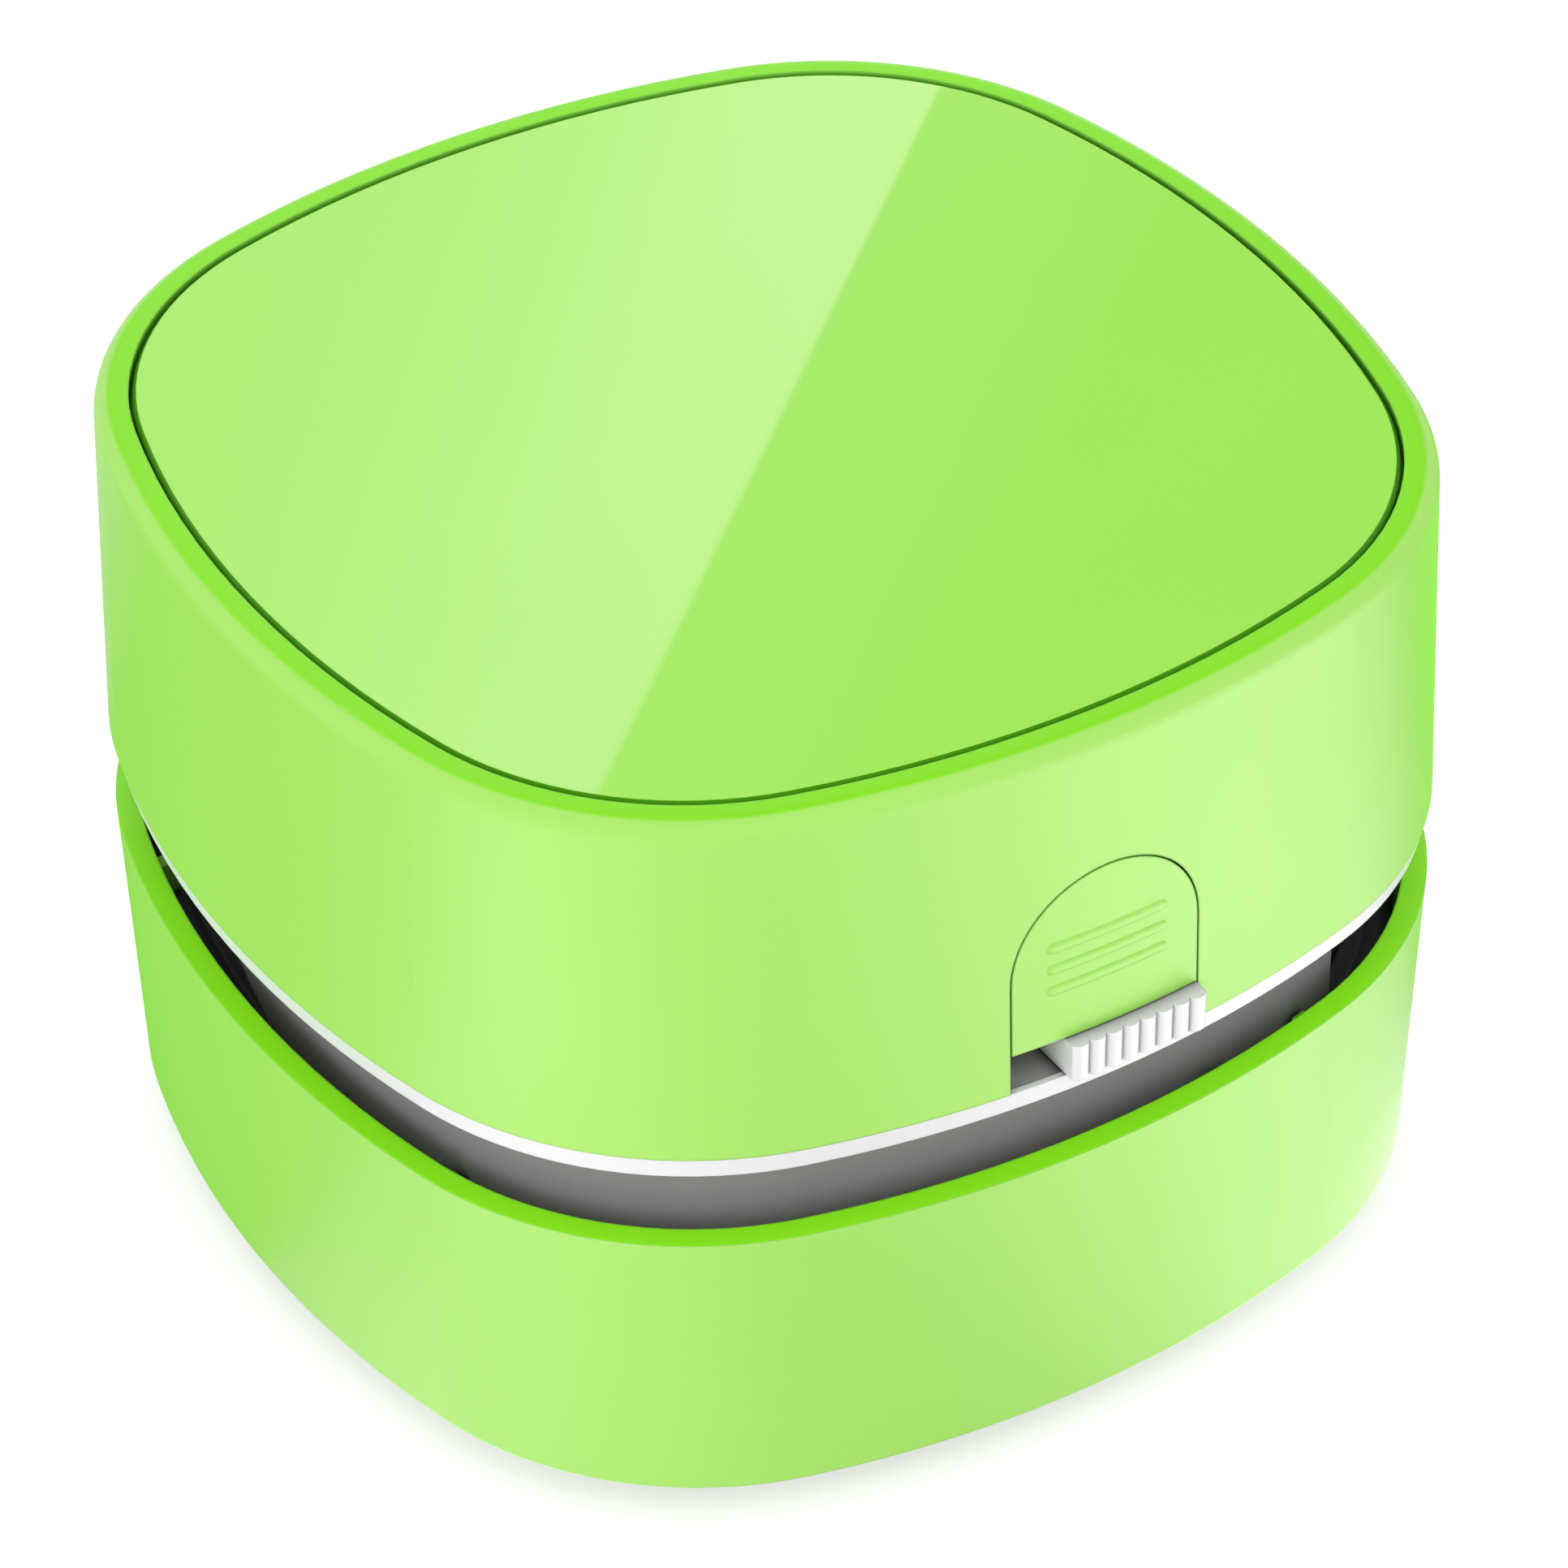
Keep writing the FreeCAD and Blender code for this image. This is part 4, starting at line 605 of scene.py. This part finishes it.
def bandAround(profile, keep=None):
    # a closed profile of (half width, height) swept along the outline, or its kept parts
    loops = [[Vector((p.x, p.y, z)) for p in loopPoints(half)] for half, z in profile]
    count, wide = len(loops[0]), len(profile)
    kept = [keep is None or keep(p) for p in loops[0]]
    points, faces = [], []
    for i in range(count):
        j = (i + 1) % count
        if not (kept[i] and kept[j]):
            continue
        first = len(points)
        points += [loop[i] for loop in loops] + [loop[j] for loop in loops]
        for k in range(wide):
            m = (k + 1) % wide
            faces.append((first + k, first + m, first + wide + m, first + wide + k))
        if not kept[i - 1]:
            faces.append(tuple(range(first, first + wide))[::-1])
        if not kept[(j + 1) % count]:
            faces.append(tuple(range(first + wide, first + 2 * wide)))
    return points, faces


def rod(path, radius, sides, tip=1.0):
    # a round rod along a path; tip is its last radius over its first
    points, faces = [], []
    path = [Vector(p) for p in path]
    side = (path[1] - path[0]).orthogonal()
    for i, at in enumerate(path):
        along = (path[min(i + 1, len(path) - 1)] - path[max(i - 1, 0)]).normalized()
        side = (side - along * side.dot(along)).normalized()
        other = along.cross(side)
        wide = radius * (1 + (tip - 1) * i / (len(path) - 1))
        for k in range(sides):
            turn = 2 * math.pi * k / sides
            points.append(at + (side * math.cos(turn) + other * math.sin(turn)) * wide)
    for i in range(len(path) - 1):
        for k in range(sides):
            a, b = i * sides + k, i * sides + (k + 1) % sides
            faces.append((a, b, b + sides, a + sides))
    faces.append(tuple(range(sides))[::-1])
    faces.append(tuple(range(len(points) - sides, len(points))))
    return points, faces


def lathe(profile, start, along, steps=64):
    # profile is (distance along, radius) from one end to the other
    side = along.orthogonal().normalized()
    other = along.cross(side)
    points, faces = [], []
    for far, radius in profile:
        for k in range(steps):
            turn = 2 * math.pi * k / steps
            out = side * math.cos(turn) + other * math.sin(turn)
            points.append(start + along * far + out * radius)
    for i in range(len(profile) - 1):
        for k in range(steps):
            a, b = i * steps + k, i * steps + (k + 1) % steps
            faces.append((a, b, b + steps, a + steps))
    faces.append(tuple(range(steps))[::-1])
    faces.append(tuple(range(len(points) - steps, len(points))))
    return points, faces


def makePiece(name, pointsAndFaces, body, slotName, stands=()):
    # points in mm; the piece rides on a body and stands for the nodes named
    points, faces = pointsAndFaces
    mesh = bpy.data.meshes.new(name)
    mesh.from_pydata([Vector(p) * mm for p in points], [], faces)
    shape = bmesh.new()
    shape.from_mesh(mesh)
    bmesh.ops.remove_doubles(shape, verts=shape.verts[:], dist=1e-7)
    bmesh.ops.recalc_face_normals(shape, faces=shape.faces[:])
    shape.to_mesh(mesh)
    shape.free()
    mesh.shade_smooth()
    piece = bpy.data.objects.new(name, mesh)
    bpy.context.scene.collection.objects.link(piece)
    mesh.materials.append(finishes[slotName])
    if stands:
        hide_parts(*stands)
    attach(piece, body)
    return piece


bristleTufts = {
    "arcs": 4,            # rows between the gaps in the ring
    "perArc": 6,
    "ringRadius": 18.4,   # mm
    "tuftRadius": 0.78,   # mm
    "low": 0.6,           # mm, where the hairs touch down
    "high": 4.3,          # mm, inside the ring
    "hairs": 46,
    "hairRadius": 0.075,  # mm, about twice a real hair, so that it shows
    "splay": 0.34,        # mm that the tips spread
    "bend": 0.3,          # mm that use has pushed a tip aside
    "uneven": 0.25,       # mm between the longest hair and the shortest
    "tip": 0.6,           # radius of a tip over that of its root
    "roots": 0.8,         # part of the tuft's width that the roots fill
    "steps": 4,           # along a hair
    "sides": 5,           # round it
    "seed": 7,
}


def makeBristles(values):
    # extruded nylon hairs, bent a little by use
    dice = random.Random(values["seed"])
    arc, steps = 360 / values["arcs"], values["steps"]
    hairs = []
    for part in range(values["arcs"]):
        for tuft in range(values["perArc"]):
            angle = math.radians(part * arc + (tuft + 1) * arc / (values["perArc"] + 1))
            foot = Vector((math.cos(angle), math.sin(angle), 0)) * values["ringRadius"]
            for _ in range(values["hairs"]):
                out = math.sqrt(dice.random())
                turn = dice.random() * 2 * math.pi
                where = Vector((math.cos(turn), math.sin(turn), 0)) * out
                bend = values["bend"]
                lean = Vector((dice.uniform(-bend, bend), dice.uniform(-bend, bend), 0))
                low = values["low"] + dice.uniform(0, values["uneven"])
                path = []
                for step in range(steps + 1):
                    share = step / steps
                    root = values["tuftRadius"] * values["roots"]
                    spread = where * (root + values["splay"] * share ** 2)
                    drop = values["high"] + (low - values["high"]) * share
                    path.append(foot + spread + lean * share ** 2 + Vector((0, 0, drop)))
                hairs.append(rod(path, values["hairRadius"], values["sides"], values["tip"]))
    makePiece("bristle_hairs", joined(hairs), "box", "bristle", ["bristles"])


wovenScreen = {
    "half": 35.7,      # mm, held all round in the frame
    "middle": 18.25,   # mm, the height of its middle
    "pitch": 1.1,      # mm, drawn coarser than the real 0.5 mm so that it shows
    "thread": 0.135,   # mm, half a thread's thickness
    "wave": 0.10,      # mm, how far a thread rises and dips
    "end": 0.2,        # mm, a thread's straight end in the frame
    "sides": 4,        # round a thread
}


def makeScreen(values):
    # nylon monofilament in plain weave: over one, under one
    edge = loopPoints(values["half"])
    half, pitch = values["half"], values["pitch"]
    count = int(half / pitch)
    threads = []
    for across in range(-count, count + 1):
        at = across * pitch
        ends = []
        for i, a in enumerate(edge):
            b = edge[(i + 1) % len(edge)]
            if (a.y - at) * (b.y - at) <= 0 and a.y != b.y:
                ends.append(a.x + (b.x - a.x) * (at - a.y) / (b.y - a.y))
        reach = max(ends)
        crossed = reach - values["end"]
        stations = [k for k in range(-count - 1, count + 2) if abs(k * pitch) < crossed]
        for swap in (False, True):
            path = [(-reach, at, values["middle"])]
            for k in stations:
                rise = values["wave"] * (1 if (k + across + swap) % 2 else -1)
                path.append((k * pitch, at, values["middle"] + rise))
            path.append((reach, at, values["middle"]))
            if swap:
                path = [(y, x, z) for x, y, z in path]
            threads.append(rod(path, values["thread"], values["sides"]))
    screen = makePiece("woven_screen", joined(threads), "filter", "filter_cloth", ["filter_mesh"])


gasket = {
    "outer": 38.45,            # mm, half width
    "inner": 36.85,
    "low": 20.5,               # mm
    "high": 21.5,
    "lip": 0.22,               # mm, the two small lips that seal
    "wiperShadeBand": 40.2,             # mm, half width of the thin dark lip that wipes the dust box's wall; it also fills the gap there as a dark band that stands in for shade
    "wiperShadeBandThick": 0.3,
    "wiperShadeBandRoot": 0.1,          # mm that the wiper starts inside the ring
    "wiperShadeBandTop": (0.02, 0.1),   # mm under the ring's top, at its root and at its edge
    "ribs": ((19.7, 34.3), (34.3, 19.7)),   # mm, where the wiper is notched round the box's ribs
    "notch": 1.6,              # mm, radius
}


def makeGasket(values):
    # silicone rubber moulded, with a hollow between two rounded lips and a thin dark skirt outside
    # them, which also stands in for the shade in the gap round the neck
    outer, inner, low, high, lip = (values[k] for k in ("outer", "inner", "low", "high", "lip"))
    profile = [(outer, low + lip), (outer - lip, low), (inner + lip, low), (inner, low + lip),
               (inner, high - lip), (inner + lip, high), (inner + 2 * lip, high - lip / 2),
               (outer - 2 * lip, high - lip / 2), (outer - lip, high), (outer, high - lip)]
    root, edge = outer - values["wiperShadeBandRoot"], values["wiperShadeBand"]
    under = high - values["wiperShadeBandThick"]
    topRoot, topEdge = (high - down for down in values["wiperShadeBandTop"])
    # the skirt: a wiper, and a dark band put in for the shade in the gap
    wiperShadeSkirt = [(root, under), (root, topRoot), (edge, topEdge), (edge, under)]

    def clear(p):
        return all(math.hypot(abs(p.x) - x, abs(p.y) - y) > values["notch"]
                   for x, y in values["ribs"])

    shapes = [bandAround(profile), bandAround(wiperShadeSkirt, clear)]
    makePiece("gasket", joined(shapes), "head", "seal_rubber", ["neck_seal"])


foamPad = {
    "cuts": 22,               # across each face
    "crown": 0.16,            # share of its thickness that the edges pull in
    "crownPower": 8,          # a higher one keeps that nearer the edges
    "pinch": (0.03, 0.012),   # shares of its width and length that they pull in
    "pinchPower": 3,
    "pore": 0.55,             # mm, width of the open pores, drawn about twice their real width
    "poreDeep": 0.10,         # mm
    "poreLevel": 0.6,         # the noise value that leaves the surface where it is
}


def makeFoam(node, values):
    # polyurethane foam cut from sheet: edges crushed by the knife, open pores over every face
    low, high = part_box(node)
    middle, size = (low + high) / 2 / mm, (high - low) / mm
    shape = bmesh.new()
    bmesh.ops.create_cube(shape, size=1.0)
    bmesh.ops.subdivide_edges(shape, edges=shape.edges[:], cuts=values["cuts"], use_grid_fill=True)
    points = []
    for v in shape.verts:
        x, y, z = v.co * 2
        pull = values["crown"] * max(abs(x), abs(y)) ** values["crownPower"]
        inwards = abs(z) ** values["pinchPower"]
        wide, long = (1 - share * inwards for share in values["pinch"])
        at = Vector((x * size.x / 2 * wide, y * size.y / 2 * long, z * size.z / 2 * (1 - pull)))
        rise = noise.noise(at / values["pore"]) - values["poreLevel"]
        at += v.normal * rise * values["poreDeep"]
        points.append(middle + at)
    faces = [tuple(v.index for v in face.verts) for face in shape.faces]
    shape.free()
    pad = makePiece(node + "_pad", (points, faces), "cover", "foam", [node])


cellShape = {
    "radius": 7.25,      # mm
    "nub": 2.75,         # mm, radius of the positive end's nub
    "nubHigh": 1.2,
    "band": 13.0,        # mm, where the lighter end band stops
    "bandHex": "B98A4E",
}


def makeCell(node, sign, values):
    # a shrink sleeve folded over both rims of a nickel-plated can
    # profiles run from the positive end: (distance along, radius)
    low, high = (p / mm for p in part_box(node))
    length = high.y - low.y
    start = Vector(((low.x + high.x) / 2, low.y if sign > 0 else high.y, (low.z + high.z) / 2))
    r, nub, up = values["radius"], values["nub"], values["nubHigh"]
    can = [(0.25, 0.6), (0.0, 1.4), (0.0, nub - 0.5), (0.2, nub - 0.1), (0.5, nub), (up, nub),
           (up, r - 1.9), (up + 0.15, r - 0.5), (up + 0.6, r - 0.25), (length - 0.4, r - 0.25),
           (length - 0.05, r - 0.8), (length, r - 1.4), (length, 4.2), (length - 0.3, 3.8),
           (length - 0.3, 0.6)]
    sleeve = [(up + 0.25, r - 1.5), (up - 0.02, r - 1.1), (up + 0.12, r - 0.45),
              (up + 0.5, r - 0.1), (up + 0.9, r)]
    band = [(up + 0.9, r), (values["band"] * 0.5, r), (values["band"], r)]
    rest = [(values["band"], r), (length / 2, r), (length - 0.7, r), (length - 0.3, r - 0.15),
            (length, r - 0.7), (length - 0.02, r - 1.2)]
    shapes, slots = [], []
    for profile, slot in ((can, 1), (sleeve, 0), (band, 2), (rest, 0)):
        points, faces = lathe(profile, start, Vector((0, sign, 0)))
        if profile is not can:
            faces = faces[:-2]   # the sleeve is open at both ends
        shapes.append((points, faces))
        slots += [slot] * len(faces)
    cell = makePiece(node + "_sleeved", joined(shapes), "cells", "cell_jacket", [node])
    cell.data.materials.append(finishes["contact_steel"])
    cell.data.materials.append(finishes["band"])
    for face, slot in zip(cell.data.polygons, slots):
        face.material_index = slot


releaseSpring = {
    "wire": 0.28,     # mm, half the wire's thickness
    "coil": 2.2,      # mm
    "turns": 6,       # the first and the last lie closed
    "steps": 28,      # a turn
    "sides": 10,      # round the wire
    "travel": 1.6,    # mm that the button pushes it
}


def makeReleaseSpring(values):
    # music wire, coiled with closed ends
    low, high = (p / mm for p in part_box("release_spring"))
    wire, turns, steps, coil = (values[k] for k in ("wire", "turns", "steps", "coil"))
    whole, middle = high.y - low.y, (low.z + high.z) / 2
    rise = (whole - 6 * wire) / (turns - 2)   # of a turn between the closed ones
    path = []
    for step in range(turns * steps + 1):
        turn = step / steps
        closed = 2 * wire * (min(turn, 1) + max(turn - turns + 1, 0))
        y = low.y + wire + closed + rise * min(max(turn - 1, 0), turns - 2)
        angle = 2 * math.pi * turn
        path.append((coil * math.cos(angle), y, middle + coil * math.sin(angle)))
    spring = makePiece("release_coil", rod(path, wire, values["sides"]), "head", "contact_steel",
                       ["release_spring"])
    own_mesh(spring)


gripRibs = {
    "heights": (40.9, 42.6, 44.3),   # mm
    "half": 4.7,                     # mm, half their length
    "wide": 0.42,                    # mm, half their width
    "proud": 0.22,                   # mm
    "sunk": 0.04,                    # mm that their edges lie under the face
    "along": 40,                     # steps
    "across": 10,
    "roundEnd": 0.0004,              # least square of a rib's width at its ends, as a share
    "castFrom": -60,                 # mm, in front of the button
}


def makeRibs(values):
    # moulded ribs under the thumb, laid on the button's face
    button = nodes["release_button"]
    half, wide, along, across = (values[k] for k in ("half", "wide", "along", "across"))
    shapes = []
    for height in values["heights"]:
        points, faces = [], []
        for i in range(along + 1):
            x = half * (2 * i / along - 1)
            inside = max(abs(x) - (half - wide), 0) / wide
            room = math.sqrt(max(1 - inside ** 2, values["roundEnd"]))
            for j in range(across + 1):
                v = 2 * j / across - 1
                z = height + v * wide * room
                start = Vector((x, values["castFrom"], z)) * mm
                _, at, normal, _ = button.ray_cast(start, Vector((0, 1, 0)))
                rise = values["proud"] * room * math.sqrt(max(1 - v * v, 0)) - values["sunk"]
                points.append(at / mm + normal * rise)
        for i in range(along):
            for j in range(across):
                a = i * (across + 1) + j
                faces.append((a, a + across + 1, a + across + 2, a + 1))
        shapes.append((points, faces))
    ribs = makePiece("button_ribs", joined(shapes), "button", "case_green")
    ribs.data.materials[0] = button.data.materials[0]


makeBristles(bristleTufts)
print("bristles made")
makeScreen(wovenScreen)
makeGasket(gasket)
for padName in ("cover_foam_left", "cover_foam_right"):
    makeFoam(padName, foamPad)
print("screen, gasket and foam made")
finishes["band"] = plasticSurface({**plastics["cell_jacket"], "name": "PVC shrink sleeve copper",
                                   "hex": cellShape["bandHex"]})
makeCell("cell_left", 1, cellShape)
makeCell("cell_right", -1, cellShape)
makeReleaseSpring(releaseSpring)
makeRibs(gripRibs)
print("cells, spring and ribs made")

bpy.context.scene.view_settings.view_transform = "Standard"
